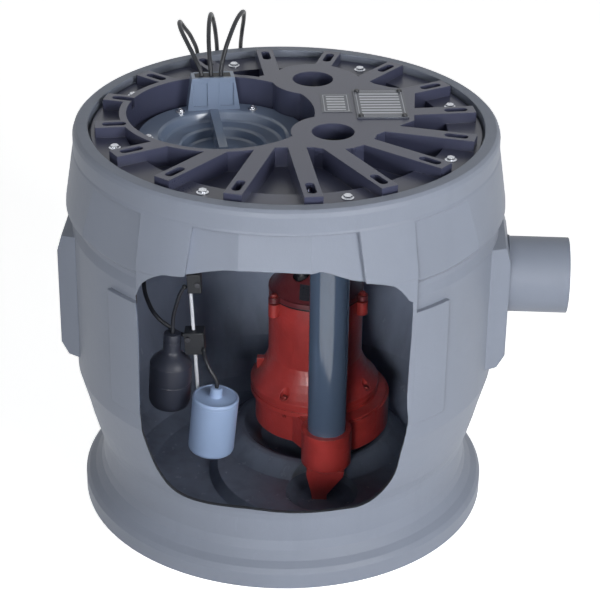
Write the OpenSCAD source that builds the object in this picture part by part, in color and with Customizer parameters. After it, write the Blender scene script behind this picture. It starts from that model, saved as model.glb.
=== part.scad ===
// Sump pump package: moulded basin with a bolted cover, an access lid, a submersible pump on its
// discharge pipe, two tethered floats on a rod and three cords. Millimetres, +Z up.
// The origin is the middle of the basin's foot, on the floor. The inlet points along +X and the
// display window faces -Y.

/* [Basin] */
// Height of the basin's rim above the floor
basin_h = 610; // [600:1:640]
// Outer radius of the drum
drum_r = 318; // [314:0.5:321]
// Wall of the drum
basin_wall = 7; // [5:0.5:9]
// Thickness of the floor
floor_t = 8; // [6:0.5:12]
// Outer radius of the foot flange
foot_r = 313; // [305:1:330]
// Height of the foot flange's flat edge
foot_h = 24; // [16:1:30]
// Outer radius of the waist above the foot
waist_r = 284; // [280:1:290]
// Stand of the front and back bands out from the drum
band_out = 7; // [5:0.5:12]
// Height of the bands' lower edge
band_z = 255; // [245:1:265]
// Stand of each side pad's flat face out from the drum
pad_out = 17; // [13:1:27]
// Stand of the skirt's lip out from the drum
skirt_out = 8; // [6:0.5:12]
// Drop of the skirt's lip below the rim
skirt_drop = 119; // [112:1:126]
// Outer radius of the rim
rim_r = 312.5; // [310:0.5:313.5]
// Radius of the pocket that the cover lies in
pocket_r = 290; // [288.5:0.5:294]
// Depth of that pocket
pocket_depth = 21; // [20:0.5:24]
// Thickness of the ledge under the cover
ledge_t = 13; // [12.5:0.5:16]
// Inner radius of the ledge
ledge_r = 244; // [243.5:0.5:246]

/* [Inlet] */
// Outer radius of the inlet pipe
inlet_r = 57.15; // [50:0.05:60]
// Wall of the inlet pipe
inlet_wall = 6; // [4:0.5:8]
// Height of the inlet's middle
inlet_z = 371; // [350:1:380]
// Distance from the middle to the inlet's open end
inlet_end = 426; // [400:1:460]

/* [Cover] */
// Radius of the cover
cover_r = 286; // [282:0.5:287.5]
// Thickness of the cover's flange
flange_t = 9; // [7:0.5:10]
// Thickness of the cover gasket
gasket_t = 2; // [1:0.5:3]
// Height of the deck above the basin's rim
deck_rise = 6; // [4:0.5:12]
// Thickness of the deck
deck_t = 8; // [6:0.5:10]
// Thickness of the cover's upright walls
cover_wall = 5; // [4:0.5:5.5]
// Turn of the cover about the basin's axis, in degrees
cover_turn = 10.25; // [9:0.25:11]
// Number of ribs
rib_count = 16; // [16:16:16]
// Width of a rib
rib_w = 26; // [22:1:28]
// Distance from the middle to a rib's outer end
rib_end = 280; // [274:1:281]
// Width of the slot in a rib
slot_w = 13; // [8:1:15]
// Length of the slot in a rib
slot_l = 35; // [20:1:38]
// Number of cover bolts
cover_bolt_count = 8; // [8:8:8]
// Radius of the cover's bolt circle
cover_bolt_circle = 258.9; // [256:0.1:262]
// Radius of a cover bolt's shank
cover_bolt_r = 4; // [3:0.5:5]
// Radius of the front port, for the discharge pipe
front_port_r = 31; // [30.6:0.1:32]
// Radius of the back port, for a vent pipe
back_port_r = 31; // [30.6:0.1:32]
// Radius of the well that the access lid lies in
well_r = 138.5; // [137:0.5:139]
// Width of the well's lip
lip_w = 10.5; // [8:0.5:12]

/* [Access lid] */
// Outer radius of the access lid
lid_r = 126; // [124:0.5:130]
// Thickness of the access lid
lid_t = 6; // [5:0.5:8]
// Drop of the lid's flange below the deck
lid_drop = 40; // [38:1:42]
// Radius of the opening under the lid
lid_opening_r = 100; // [99:0.5:101]
// Depth of each of the lid's two steps
lid_step = 14; // [10:1:16]
// Radius of the lid's bolt circle
lid_bolt_circle = 110; // [109:0.5:112]
// Radius of a lid bolt's shank
lid_bolt_r = 3; // [2.5:0.5:3.5]
// Rise of the cord tower above the deck
tower_rise = 10; // [4:1:14]

/* [Discharge pipe] */
// Outer radius of the discharge pipe
pipe_r = 30.15; // [29:0.05:30.3]
// Wall of the discharge pipe
pipe_wall = 3.9; // [2.8:0.1:5.5]

/* [Pump] */
// Radius of the motor housing
motor_r = 74.6; // [73:0.2:78]
// Wall of the motor housing
motor_wall = 6; // [5:0.5:8]
// Height of the motor housing's top face
motor_top = 285; // [280:1:295]
// Radius of the flange between motor and volute
case_r = 103; // [100:0.5:106]
// Height of the volute's top face
case_top = 118; // [116:1:122]
// Height of the volute above the floor of the sump
case_bottom = 55; // [53:1:57]
// Height of the motor cap
cap_h = 36; // [32:1:40]
// Radius of the motor shaft
shaft_r = 8; // [7:0.5:8.5]
// Radius of the impeller
impeller_r = 72; // [60:1:76]

/* [Floats] */
// Radius of the float rod
rod_r = 2.7; // [2.3:0.1:4]
// Length of the float rod
rod_length = 402; // [390:1:410]
// Lean of the float rod from upright, in degrees
rod_lean = 3.05; // [2.8:0.05:3.3]
// Radius of the alarm float
alarm_r = 32.6; // [30:0.2:34]
// Radius of the switch float
switch_r = 35.5; // [32:0.5:37]
// Length of the switch float's body
switch_h = 96; // [86:1:100]
// Wall of both floats
float_wall = 3; // [2:0.5:4]

/* [Cords] */
// Radius of the three cords
cord_r = 3.4; // [2.5:0.1:3.8]
// Radius of a float's tether
tether_r = 3; // [2.5:0.1:3.4]
// Mean radius of a coil
coil_r = 38; // [36:1:40]
// Width of a coil's bundle
coil_w = 31; // [28:1:32]
// Height of a coil's bundle
coil_h = 14; // [13:0.5:16]

/* [Hidden] */
$fn = 96;

// Clearances
seat_gap = 0.2;
bore_gap = 0.1;
run_gap = 0.05;
fit_gap = 1.2;
cut = 1;

// Radii and heights of the basin
band_r = drum_r + band_out;
pad_x = drum_r + pad_out;
skirt_r = drum_r + skirt_out;
skirt_z = basin_h - skirt_drop;
skirt_top = basin_h - 35;
rim_z = basin_h - 32;
ledge_top = basin_h - pocket_depth;
ledge_bottom = ledge_top - ledge_t;
plateau_z = floor_t + 14;

// Front and back of the basin, in degrees from the middle of the front
apron_half = 36.8;
band_half = 48;
facet_turn = 45;
// Lean of the skirt, of its corner facets and of the front recess, in degrees
skirt_lean = atan2(skirt_r - rim_r - 1.8, skirt_top - skirt_z - 9);
facet_lean = skirt_lean - 3.47;
recess_lean = skirt_lean - 0.27;
facet_depth = 5.5;
recess_depth = 4.5;
recess_turn = 18;

// Heights of the cover
flange_bottom = ledge_top + gasket_t;
flange_top = flange_bottom + flange_t;
deck_top = basin_h + deck_rise;
deck_under = deck_top - deck_t;
panel_top = flange_top - 14;
panel_bottom = panel_top - 6;
panel_r = ledge_r - 1.5;
lid_top = deck_top - lid_drop;
lid_under = lid_top - lid_t;
well_floor = lid_under - gasket_t;
well_bottom = well_floor - 8;
land_r = 63;

function turned(p, a) = [p[0] * cos(a) - p[1] * sin(a), p[0] * sin(a) + p[1] * cos(a)];
function drawn_in(points, middle, step) =
    [for (p = points) p - step * (p - middle) / norm(p - middle)];

// Places in plan
well_at = [-98, 14];
lid_at = [-95, 19];
port_x = 59;
front_port = turned([port_x, -62.5], cover_turn);
back_port = turned([port_x, 144.7], cover_turn);
pump_at = [45, 90];
branch = front_port - pump_at;
branch_turn = atan2(branch[1], branch[0]);
branch_reach = norm(branch);

// Cover details
slot_reach = 251.7;
bolt_head_h = 4;
bolt_head_r = 9;
insert_r = 7;
insert_h = 11;
plate_at = [136, 57];
plate_size = [76, 108, 2];
plate_turn = 5;
plate_z = deck_top + bore_gap;
label_at = [70, 57];
label_size = [44, 72, 0.5];
plate_screw_r = 2;

// Tower on the lid, in the lid's own plan
tower_x = -4;
tower_front = 99;
tower_back = 130;
tower_base_w = 80;
tower_top_w = 65;
tower_top = deck_top + tower_rise;
ridge_w = 13;
seal_block = [54, 17, 22];
seal_y = 116.5;
seal_z = tower_top - seal_block[2];

// Pump heights
plate_t = 5;
housing_bottom = case_top + plate_t;
housing_flange = 10;
shoulder_z = housing_bottom + 55;
cap_gasket_t = 3;
cap_bottom = motor_top + cap_gasket_t;
cap_top = cap_bottom + 8 + cap_h;
gland_at = [24, 62];
gland_r = 13;
gland_h = 30;
gland_z = cap_top - 14;
chamber_r = 82;
chamber_floor = case_bottom + 7;
pipe_seat = case_bottom + 37;
socket_r = pipe_r + 8.85;
pipe_top = flange_top - 15;
cap_bolt_circle = motor_r + 5.2;
cap_bolt_turns = [97, 217, 337];
case_bolt_circle = case_r - 9;
stator_r = motor_r - motor_wall - 0.3;
rotor_r = 39.5;
stator_z = 172;
stator_h = 80;
lower_bearing_r = 23.5;
lower_bearing_h = 14;
upper_bearing_r = 16;
upper_bearing_h = 10;
bearing_plate_z = housing_bottom + 21;

// Level control
rod_at = [-150, -56];
rod_top = lid_under - lid_step - 4;
alarm_hinge = [-148, -61, 362];
alarm_at = [-171, -61, 215];
alarm_lean = 3.2;
switch_hinge = [-119, -74.2, 262];
switch_at = [-103.2, -98, 150.5];
switch_lean = 5.25;
float_neck_r = 13.4;
switch_neck_r = 9.6;
upper_clamp_z = 354;
upper_clamp_size = [21, 22, 31];
lower_clamp_z = 251;
lower_clamp_size = [30, 26, 37];
socket_gap = 0.3;

// The routes are drawn for this height of the tower's top, and what is high on them moves with it
drawn_top = 626;
function lifted(low, high, route) = [for (p = route)
    [p[0], p[1], p[2] + (tower_top - drawn_top) * max(0, min(1, (p[2] - low) / (high - low)))]];

// Cord routes, from the seal outwards: over the rim, down behind the basin and along the floor
pump_route = lifted(120, 480, [
    [-107, 133, 616], [-107, 133, 628], [-103, 141, 655], [-94, 160, 682], [-85, 190, 698],
    [-79, 218, 698], [-80, 250, 677], [-86, 290, 636], [-90, 318, 600], [-90, 334, 550],
    [-90, 340, 480], [-90, 342, 300], [-86, 343, 120], [-78, 348, 62], [-58, 362, 22],
    [-38, 384, 6], [-29.9, 410, 3.6]
]);
switch_route = lifted(120, 480, [
    [-122, 132, 616], [-122, 132, 628], [-125, 142, 653], [-128, 168, 681], [-129, 215, 693],
    [-128, 250, 672], [-127, 280, 640], [-127, 308, 600], [-128, 326, 550], [-129, 336, 480],
    [-131, 340, 300], [-134, 343, 120], [-136, 348, 62], [-138, 362, 22], [-139.6, 385, 6],
    [-139.9, 410, 3.6]
]);
alarm_route = lifted(120, 480, [
    [-136, 131, 616], [-136, 131, 626], [-147, 141, 649], [-159, 158, 665], [-173, 188, 679],
    [-177, 215, 680], [-174, 240, 664], [-164, 280, 628], [-158, 308, 590], [-161, 322, 540],
    [-166, 330, 480], [-186, 330, 300], [-214, 330, 120], [-226, 336, 62], [-238, 350, 22],
    [-248, 380, 6], [-249.9, 410, 3.6]
]);
coil_y = 410;
coil_xs = [20, -90, -200];

// Cord routes inside the basin, from the seal inwards
pump_route_inside = lifted(350, 500, [
    [-107, 133, 616], [-107, 133, 590], [-107, 133, 566], [-96, 130, 540], [-64, 118, 505],
    [-22, 96, 465], [10, 76, 425], [22, 64, 385], [24, 62, 360], [24, 62, 350]
]);
switch_route_inside = lifted(272, 500, [
    [-122, 132, 616], [-122, 132, 590], [-122, 132, 560], [-130, 126, 530], [-160, 104, 490],
    [-196, 70, 430], [-216, 40, 370], [-218, 10, 334], [-207, -22, 312], [-192, -37, 296],
    [-174, -40, 282], [-160, -44, 274], [-151, -46, 272]
]);
alarm_route_inside = lifted(386, 500, [
    [-136, 131, 616], [-136, 131, 590], [-136, 131, 560], [-140, 110, 532], [-146, 60, 522],
    [-148, 0, 512], [-146, -34, 480], [-142, -40, 440], [-138, -41, 405], [-137, -41, 386]
]);

// Tethers, from the clamp to the float
alarm_tether_route = [
    alarm_hinge, [-154, -61, 352], [-160.5, -61, 332], [-165.7, -61, 309.85],
    [-167.09, -61, 284.9], [-168.6, -61, 257.9]
];
switch_tether_route = [
    switch_hinge, [-117, -82, 257], [-110, -92, 243], [-101.5, -97, 230],
    [-96.89, -98, 219.2], [-97.53, -98, 212.24], [-98.35, -98, 203.28]
];

// Sweep of a round cord along a smooth line through its points
function unit(v) = v / norm(v);
function pick(p, i) = p[max(0, min(len(p) - 1, i))];
function between(a, b, c, d, t) =
    0.5 * (2 * b + (c - a) * t + (2 * a - 5 * b + 4 * c - d) * t * t
           + (3 * b - a - 3 * c + d) * t * t * t);
function smooth_line(p, steps) = concat(
    [for (i = [0 : len(p) - 2], k = [0 : steps - 1])
        between(pick(p, i - 1), p[i], p[i + 1], pick(p, i + 2), k / steps)],
    [p[len(p) - 1]]);
function headings(q) = [for (i = [0 : len(q) - 1]) unit(pick(q, i + 1) - pick(q, i - 1))];
function square_to(h, side) = unit(side - (side * h) * h);
function sides(h, i, before) =
    i == len(h) ? [] : let (s = square_to(h[i], before)) concat([s], sides(h, i + 1, s));

module cord(points, r, steps = 3, count = 10) {
    line = smooth_line(points, steps);
    head = headings(line);
    side = sides(head, 0, [0.6, 0.8, 0.1]);
    rings = len(line);
    corners = [for (i = [0 : rings - 1], k = [0 : count - 1])
        line[i] + r * (cos(360 * k / count) * side[i]
                       + sin(360 * k / count) * cross(head[i], side[i]))];
    walls = [for (i = [0 : rings - 2], k = [0 : count - 1], half = [0, 1])
        let (n = (k + 1) % count, a = i * count, b = a + count)
        half == 0 ? [a + k, b + k, b + n] : [a + k, b + n, a + n]];
    first = [for (k = [0 : count - 1]) k];
    last = [for (k = [count - 1 : -1 : 0]) (rings - 1) * count + k];
    polyhedron(corners, concat(walls, [first, last]), convexity = 10);
}

// Basic shapes
module ring(outer, inner, bottom, top) {
    translate([0, 0, bottom]) difference() {
        cylinder(h = top - bottom, r = outer);
        translate([0, 0, -cut]) cylinder(h = top - bottom + 2 * cut, r = inner);
    }
}

module disc(r, bottom, top) {
    translate([0, 0, bottom]) cylinder(h = top - bottom, r = r);
}

module block(size, bottom) {
    translate([-size[0] / 2, -size[1] / 2, bottom]) cube(size);
}

module plan(bottom, top) {
    translate([0, 0, bottom]) linear_extrude(height = top - bottom) children();
}

module at_plan(p) {
    translate([p[0], p[1], 0]) children();
}

module around(count, first = 0) {
    for (i = [0 : count - 1]) rotate([0, 0, first + i * 360 / count]) children();
}

module hex_head(r, bottom, top) {
    translate([0, 0, bottom]) cylinder(h = top - bottom, r = r, $fn = 6);
}

// Washer head, hex and shank of one bolt, standing on the height given
module bolt(head_r, head_h, shank_r, under, seat) {
    disc(head_r, seat, seat + head_h * 0.35);
    hex_head(head_r * 0.72, seat, seat + head_h);
    disc(shank_r, under, seat + cut);
}

module in_cover() {
    rotate([0, 0, cover_turn]) children();
}

module in_lid() {
    at_plan(lid_at) rotate([0, 0, cover_turn]) children();
}

module in_pump() {
    at_plan(pump_at) children();
}

// Basin
module sector(points, half, middle) {
    rotate([0, 0, middle - half]) rotate_extrude(angle = 2 * half, $fn = 180) polygon(points);
}

// Raised apron and band on one side of the basin, drawn in by a wall
module raised_front(inset) {
    core = drum_r - 30;
    r = band_r - inset;
    high = skirt_z + 9 - inset / 2;
    sector([[core, band_z + 40], [r + 0.3, band_z + 40], [r + 0.3, high], [core, high]],
           apron_half - inset / 6, -90);
    sector([[core, band_z + inset], [r, band_z + inset], [r, skirt_z - 54 - inset],
            [core, skirt_z - 54 - inset]], band_half - inset / 6, -90);
}

// Flat pad on one side of the basin, drawn in by a wall
module side_pad(inset) {
    face = pad_x - inset;
    core = drum_r - 48;
    crease = drum_r - 12 - inset;
    intersection() {
        plan(band_z - 20, skirt_z - 20)
            polygon([[core, -90 + inset], [crease, -90 + inset], [face, -72 + inset],
                     [face, 72 - inset], [crease, 90 - inset], [core, 90 - inset]]);
        translate([0, 100, 0]) rotate([90, 0, 0]) linear_extrude(height = 200)
            polygon([[core, band_z - 3 + inset], [face - 12, band_z - 3 + inset],
                     [face, band_z + 14 + inset], [face, inlet_z + 52],
                     [face - 8, inlet_z + 79 - inset], [core, inlet_z + 87 - inset]]);
    }
}

// Flat faces at the four corners of the skirt, drawn in by a wall
module corner_facets(inset) {
    for (side = [0, 180], flip = [0, 1]) rotate([0, 0, side]) mirror([flip, 0, 0])
        rotate([0, 0, facet_turn - 90])
            translate([rim_r - facet_depth + 1.2 - inset, -46 - inset, skirt_top - 3 + inset])
                rotate([0, -facet_lean, 0])
                    translate([0, 0, -130 - inset]) cube([60, 150, 130 + inset]);
}

// Three flat faces set into the skirt above the window
module front_recess() {
    intersection() {
        rotate([90, 0, 0]) translate([0, 0, drum_r - 70]) linear_extrude(height = 110)
            polygon([[-112, skirt_top - 1], [112, skirt_top - 1], [125, skirt_z - 2],
                     [-125, skirt_z - 2]]);
        for (a = [-recess_turn, 0, recess_turn])
            rotate([0, 0, a - 90])
                translate([rim_r - recess_depth - 0.9, -100, skirt_top])
                    rotate([0, -recess_lean, 0]) translate([0, 0, -130]) cube([60, 200, 140]);
    }
}

module basin_form() {
    rotate_extrude($fn = 180) polygon([
        [0, 0], [foot_r, 0], [foot_r, foot_h], [foot_r - 5, foot_h + 7],
        [foot_r - 15, foot_h + 14], [waist_r + 4, foot_h + 26], [waist_r, foot_h + 40],
        [waist_r, 100], [waist_r + 2, 112], [waist_r + 9, 130], [waist_r + 16, 155],
        [waist_r + 22, 180], [drum_r, 225], [drum_r, skirt_z - 36], [drum_r - 5.5, skirt_z - 23],
        [drum_r - 5.5, skirt_z - 15], [skirt_r - 3, skirt_z - 3], [skirt_r, skirt_z],
        [skirt_r - 0.6, skirt_z + 9], [rim_r + 1.2, skirt_top], [rim_r, rim_z],
        [rim_r, basin_h - 10], [rim_r - 2, basin_h - 4], [rim_r - 6, basin_h], [0, basin_h]
    ]);
    for (side = [0, 180]) rotate([0, 0, side]) {
        raised_front(0);
        side_pad(0);
    }
}

module basin_cavity() {
    w = basin_wall;
    rotate_extrude($fn = 180) polygon([
        [0, floor_t], [waist_r - 76, floor_t], [waist_r - 44, floor_t + 7],
        [waist_r - 22, floor_t + 25], [waist_r - w - 2, floor_t + 50], [waist_r - w, floor_t + 67],
        [waist_r - w, 102], [waist_r + 9 - w, 132], [waist_r + 16 - w, 157],
        [waist_r + 22 - w, 182], [drum_r - w, 227], [drum_r - w, skirt_z - 37],
        [drum_r - 5.5 - w, skirt_z - 25], [drum_r - 5.5 - w, skirt_z - 8],
        [skirt_r - 4 - w, skirt_z + 8], [rim_r - w - 4, skirt_top - 2],
        [rim_r - w - 4, ledge_bottom], [0, ledge_bottom]
    ]);
    for (side = [0, 180]) rotate([0, 0, side]) {
        raised_front(w);
        side_pad(w);
    }
}

module floor_relief() {
    wide_at = [62, 2];
    wide_r = 181;
    difference() {
        union() {
            at_plan(wide_at) translate([0, 0, floor_t - cut])
                cylinder(h = plateau_z - floor_t + cut, r1 = wide_r, r2 = wide_r - 14);
            in_pump() rotate_extrude() polygon([
                [86, floor_t], [86, plateau_z], [100, plateau_z + 10], [113, plateau_z + 21],
                [120, plateau_z + 23], [127, plateau_z + 21], [150, plateau_z], [150, floor_t]
            ]);
            translate([-71, 38, plateau_z - 3]) cylinder(h = 6, r = 7);
        }
        at_plan([64, -84]) rotate_extrude() polygon([
            [0, floor_t], [38, floor_t], [50, floor_t + 6], [57, plateau_z + cut],
            [60, plateau_z + 30], [0, plateau_z + 30]
        ]);
    }
}

window = [
    [-197, 444], [-185, 474], [-157, 496], [-129, 501], [-68, 519], [-25, 521], [48, 520],
    [65, 521], [104, 505], [131, 499], [163, 487], [183, 460], [189, 442], [186, 307],
    [189, 258], [181, 207], [174, 165], [156, 133], [129, 113], [93, 113], [22, 115],
    [-39, 120], [-120, 115], [-153, 126], [-174, 157], [-188, 201], [-195, 252], [-194, 385]
];

window_line = smooth_line(concat(window, [window[0]]), 3);
window_edge = [for (i = [0 : len(window_line) - 2]) window_line[i]];

module basin() {
    color("#8f99a8") {
        difference() {
            basin_form();
            difference() {
                basin_cavity();
                corner_facets(basin_wall - 1.5);
            }
            corner_facets(0);
            disc(ledge_r, ledge_bottom - cut, basin_h + cut);
            disc(pocket_r, ledge_top, basin_h + cut);
            front_recess();
            rotate([90, 0, 0]) translate([0, 0, 200]) linear_extrude(height = 160)
                polygon(window_edge);
            translate([200, 0, inlet_z]) rotate([0, 90, 0])
                cylinder(h = 200, r = inlet_r + bore_gap);
            in_cover() around(cover_bolt_count, 11.25) translate([cover_bolt_circle, 0, 0])
                disc(insert_r + bore_gap, ledge_top - insert_h, ledge_top + cut);
        }
        floor_relief();
    }
}

module inlet_stub() {
    color("#8b95a4") translate([0, 0, inlet_z]) rotate([0, 90, 0]) {
        ring(inlet_r, inlet_r - inlet_wall, pad_x - 42, inlet_end);
        ring(inlet_r + 1.5, inlet_r - cut, pad_x + seat_gap, pad_x + 2);
    }
}

module cover_inserts() {
    color("#b08d57") in_cover() around(cover_bolt_count, 11.25)
        translate([cover_bolt_circle, 0, 0])
            ring(insert_r, cover_bolt_r + bore_gap, ledge_top - insert_h + seat_gap, ledge_top);
}

module cover_gasket() {
    color("#26272b") difference() {
        ring(cover_r - 2, ledge_r + 2, ledge_top, ledge_top + gasket_t);
        in_cover() around(cover_bolt_count, 11.25) translate([cover_bolt_circle, 0, 0])
            disc(cover_bolt_r + bore_gap, ledge_top - cut, flange_bottom + cut);
    }
}

// Cover
deck_points = [
    [-60, -119], [38, -109], [100, -108], [128, -62], [146, -42], [186, 0], [188, 122],
    [150, 128], [127, 140], [104, 166], [86, 190], [20, 205], [-50, 158]
];
deck_middle = [40, 40];

module deck_area(inset) {
    at_plan(well_at) circle(r = well_r + lip_w - inset);
    at_plan(front_port) circle(r = land_r - inset);
    at_plan(back_port) circle(r = land_r - inset);
    polygon(drawn_in(deck_points, deck_middle, inset));
}

module well_area(grow) {
    difference() {
        at_plan(well_at) circle(r = well_r + grow);
        at_plan(front_port) circle(r = land_r - 2 - grow);
        at_plan(back_port) circle(r = land_r - grow);
    }
}

module rib(w, bottom, top, reach) {
    translate([90, -w / 2, bottom]) cube([reach - 90, w, top - bottom]);
}

// Round-ended slot through a rib, along X
module rib_slot() {
    long = slot_l - slot_w;
    plan(flange_top + 2, deck_top + cut) {
        square([long, slot_w], center = true);
        for (s = [-1, 1]) translate([s * long / 2, 0]) circle(r = slot_w / 2);
    }
}

module port_bosses() {
    at_plan(front_port) disc(front_port_r + 9, panel_bottom - 14, deck_top);
    at_plan(back_port) disc(back_port_r + 9, panel_bottom - 14, deck_top);
}

module well_walls(top) {
    difference() {
        plan(well_bottom, top) well_area(cover_wall);
        plan(well_floor, top + cut) well_area(0);
    }
}

module cover_solid() {
    rotate_extrude($fn = 180) polygon([
        [panel_r - 7, panel_bottom], [panel_r, panel_bottom], [panel_r, flange_bottom],
        [cover_r, flange_bottom], [cover_r, flange_top], [panel_r - 7, flange_top]
    ]);
    disc(panel_r - 3, panel_bottom, panel_top);
    plan(panel_bottom, deck_top) deck_area(0);
    in_cover() around(rib_count) {
        rib(rib_w, panel_bottom, deck_top, panel_r - 2);
        rib(rib_w, flange_top - 2, deck_top, rib_end);
    }
}

module cover() {
    color("#3e4048") difference() {
        union() {
            difference() {
                cover_solid();
                plan(panel_bottom - cut, deck_under) deck_area(cover_wall);
                in_cover() around(rib_count)
                    rib(rib_w - 2 * cover_wall, panel_bottom - cut, deck_under, panel_r - 8);
                plan(panel_bottom - cut, deck_top + cut) well_area(0);
            }
            well_walls(deck_under + cut);
            port_bosses();
        }
        ring(cover_r + 10, panel_r, well_bottom - cut, flange_bottom);
        in_lid() disc(lid_opening_r, well_bottom - cut, well_floor + cut);
        in_lid() translate([tower_x, 0, 0])
            translate([-26, 90, well_bottom - cut]) cube([52, 37, 10 + cut]);
        in_lid() around(6) translate([lid_bolt_circle, 0, 0])
            disc(lid_bolt_r + bore_gap, well_bottom - cut, well_floor + cut);
        at_plan(front_port) {
            disc(front_port_r, panel_bottom - 20, deck_top + cut);
            disc(front_port_r + 5, panel_bottom - 6, flange_top - 8);
        }
        at_plan(back_port) {
            disc(back_port_r, panel_bottom - 20, deck_top + cut);
            disc(back_port_r + 5, panel_bottom - 6, flange_top - 8);
        }
        in_cover() around(cover_bolt_count, 11.25) translate([cover_bolt_circle, 0, 0])
            disc(cover_bolt_r + seat_gap, flange_bottom - cut, flange_top + cut);
        in_cover() around(rib_count) translate([slot_reach, 0, 0]) rib_slot();
        at_plan(plate_at) rotate([0, 0, plate_turn]) for (x = [-1, 1], y = [-1, 1])
            translate([x * (plate_size[0] / 2 - 6), y * (plate_size[1] / 2 - 6), 0])
                disc(plate_screw_r + bore_gap, deck_under - cut, deck_top + cut);
    }
}

module cover_bolts() {
    color("#c9ccd2") in_cover() around(cover_bolt_count, 11.25)
        translate([cover_bolt_circle, 0, 0])
            bolt(bolt_head_r, bolt_head_h + 1, cover_bolt_r, ledge_top - insert_h + 1, flange_top);
}

module discharge_seal() {
    color("#1f2024") at_plan(front_port) difference() {
        disc(front_port_r + 5 - seat_gap, panel_bottom - 6 + seat_gap, flange_top - 8 - seat_gap);
        disc(pipe_r + bore_gap, 0, basin_h);
    }
}

module vent_seal() {
    color("#1f2024") at_plan(back_port)
        ring(back_port_r + 5 - seat_gap, pipe_r + bore_gap, panel_bottom - 6 + seat_gap,
             flange_top - 8 - seat_gap);
}

module nameplate() {
    color("#54565e") at_plan(plate_at) rotate([0, 0, plate_turn]) difference() {
        block(plate_size, plate_z);
        for (x = [-1, 1], y = [-1, 1])
            translate([x * (plate_size[0] / 2 - 6), y * (plate_size[1] / 2 - 6), 0])
                disc(plate_screw_r + bore_gap, deck_top - cut, deck_top + 5);
    }
}

module nameplate_screws() {
    color("#1d1e22") at_plan(plate_at) rotate([0, 0, plate_turn])
        for (x = [-1, 1], y = [-1, 1])
            translate([x * (plate_size[0] / 2 - 6), y * (plate_size[1] / 2 - 6), 0]) {
                top = plate_z + plate_size[2];
                translate([0, 0, top]) cylinder(h = 3, r1 = 4.5, r2 = 3.2);
                disc(plate_screw_r, deck_under - 2, top + cut);
            }
}

module info_label() {
    color("#4a4b50") at_plan(label_at) rotate([0, 0, plate_turn]) block(label_size, plate_z);
}

// Access lid
module tower_form() {
    difference() {
        intersection() {
            translate([0, tower_back, 0]) rotate([90, 0, 0])
                linear_extrude(height = tower_back - tower_front + 10)
                    polygon([[-tower_base_w / 2, lid_under], [tower_base_w / 2, lid_under],
                             [tower_base_w / 2, lid_top], [tower_top_w / 2, tower_top],
                             [-tower_top_w / 2, tower_top], [-tower_base_w / 2, lid_top]]);
            rotate([90, 0, 90]) translate([0, 0, -60]) linear_extrude(height = 120)
                polygon([[tower_front, lid_under], [tower_front, lid_top],
                         [tower_front + 4, tower_top], [tower_back, tower_top],
                         [tower_back, lid_under]]);
        }
        for (s = [-1, 1]) translate([s * 20, tower_front + 1, lid_top + 6])
            rotate([-4.6, 0, 0]) translate([-11, -20, 0]) cube([22, 22, 36]);
    }
}

module access_lid() {
    r1 = lid_opening_r - 3;
    r2 = r1 - 33;
    color("#5b6878") intersection() {
        plan(lid_under - 2 * lid_step - cut, tower_top + cut) well_area(-fit_gap);
        in_lid() difference() {
            union() {
                rotate_extrude() polygon([
                    [0, lid_top - 2 * lid_step], [r2 - 12, lid_top - 2 * lid_step],
                    [r2 - 8, lid_top - 2 * lid_step + 2], [r2 - 3, lid_top - lid_step - 2],
                    [r2 + 1, lid_top - lid_step], [r1 - 12, lid_top - lid_step],
                    [r1 - 8, lid_top - lid_step + 2], [r1 - 4, lid_top - 2], [r1, lid_top],
                    [lid_r, lid_top], [lid_r, lid_under], [r1 + 2, lid_under],
                    [r1 - 6, lid_under - lid_step], [r2 + 5, lid_under - lid_step],
                    [r2 - 6, lid_under - 2 * lid_step], [0, lid_under - 2 * lid_step]
                ]);
                translate([tower_x, 0, 0]) {
                    tower_form();
                    translate([-ridge_w / 2, -48, lid_under - lid_step])
                        cube([ridge_w, tower_front + 50, lid_step + lid_t + 1.5]);
                    translate([-ridge_w / 2, -48, lid_under - 2 * lid_step + 2])
                        cube([ridge_w, 96, lid_step + cut]);
                }
            }
            translate([tower_x, 0, 0]) {
                translate([-26, 108, lid_under - cut]) cube([52, 17, seal_z - 6 - lid_under + cut]);
                translate([-23, 109, lid_under]) cube([46, 15, seal_z - lid_under + cut]);
                translate([-seal_block[0] / 2 - seat_gap, seal_y - seal_block[1] / 2 - seat_gap, seal_z])
                    cube([seal_block[0] + 2 * seat_gap, seal_block[1] + 2 * seat_gap,
                          seal_block[2] + cut]);
            }
            around(6) translate([lid_bolt_circle, 0, 0])
                disc(lid_bolt_r + seat_gap, lid_under - cut, lid_top + cut);
        }
    }
}

module lid_gasket() {
    color("#232428") intersection() {
        plan(well_floor, lid_under) well_area(-fit_gap - 1);
        in_lid() difference() {
            ring(lid_r - 1, lid_opening_r + 2, well_floor, lid_under);
            around(6) translate([lid_bolt_circle, 0, 0])
                disc(lid_bolt_r + bore_gap, well_floor - cut, lid_under + cut);
            translate([tower_x - 26, 90, well_floor - cut]) cube([52, 40, gasket_t + 2 * cut]);
        }
    }
}

module lid_bolts() {
    color("#c4c6cc") in_lid() around(6) translate([lid_bolt_circle, 0, 0])
        bolt(7, 5, lid_bolt_r, well_bottom - 3, lid_top);
}

module cord_seal() {
    color("#1c1d20") difference() {
        in_lid() translate([tower_x, seal_y, 0]) block(seal_block, seal_z);
        for (route = [pump_route, switch_route, alarm_route])
            at_plan(route[0]) disc(cord_r + bore_gap, seal_z - cut, tower_top + cut);
    }
}

// Discharge pipe and pump
module discharge_pipe() {
    color("#566577") at_plan(front_port) ring(pipe_r, pipe_r - pipe_wall, pipe_seat, pipe_top);
}

// Outline of the volute: it widens as it turns towards the discharge branch
module scroll(inset) {
    narrow = case_r - 8;
    growth = 38;
    polygon([for (a = [0 : 6 : 270])
        (narrow + growth * a / 270 - inset) * [cos(180 - a), sin(180 - a)]]);
    circle(r = narrow - inset);
}

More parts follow.
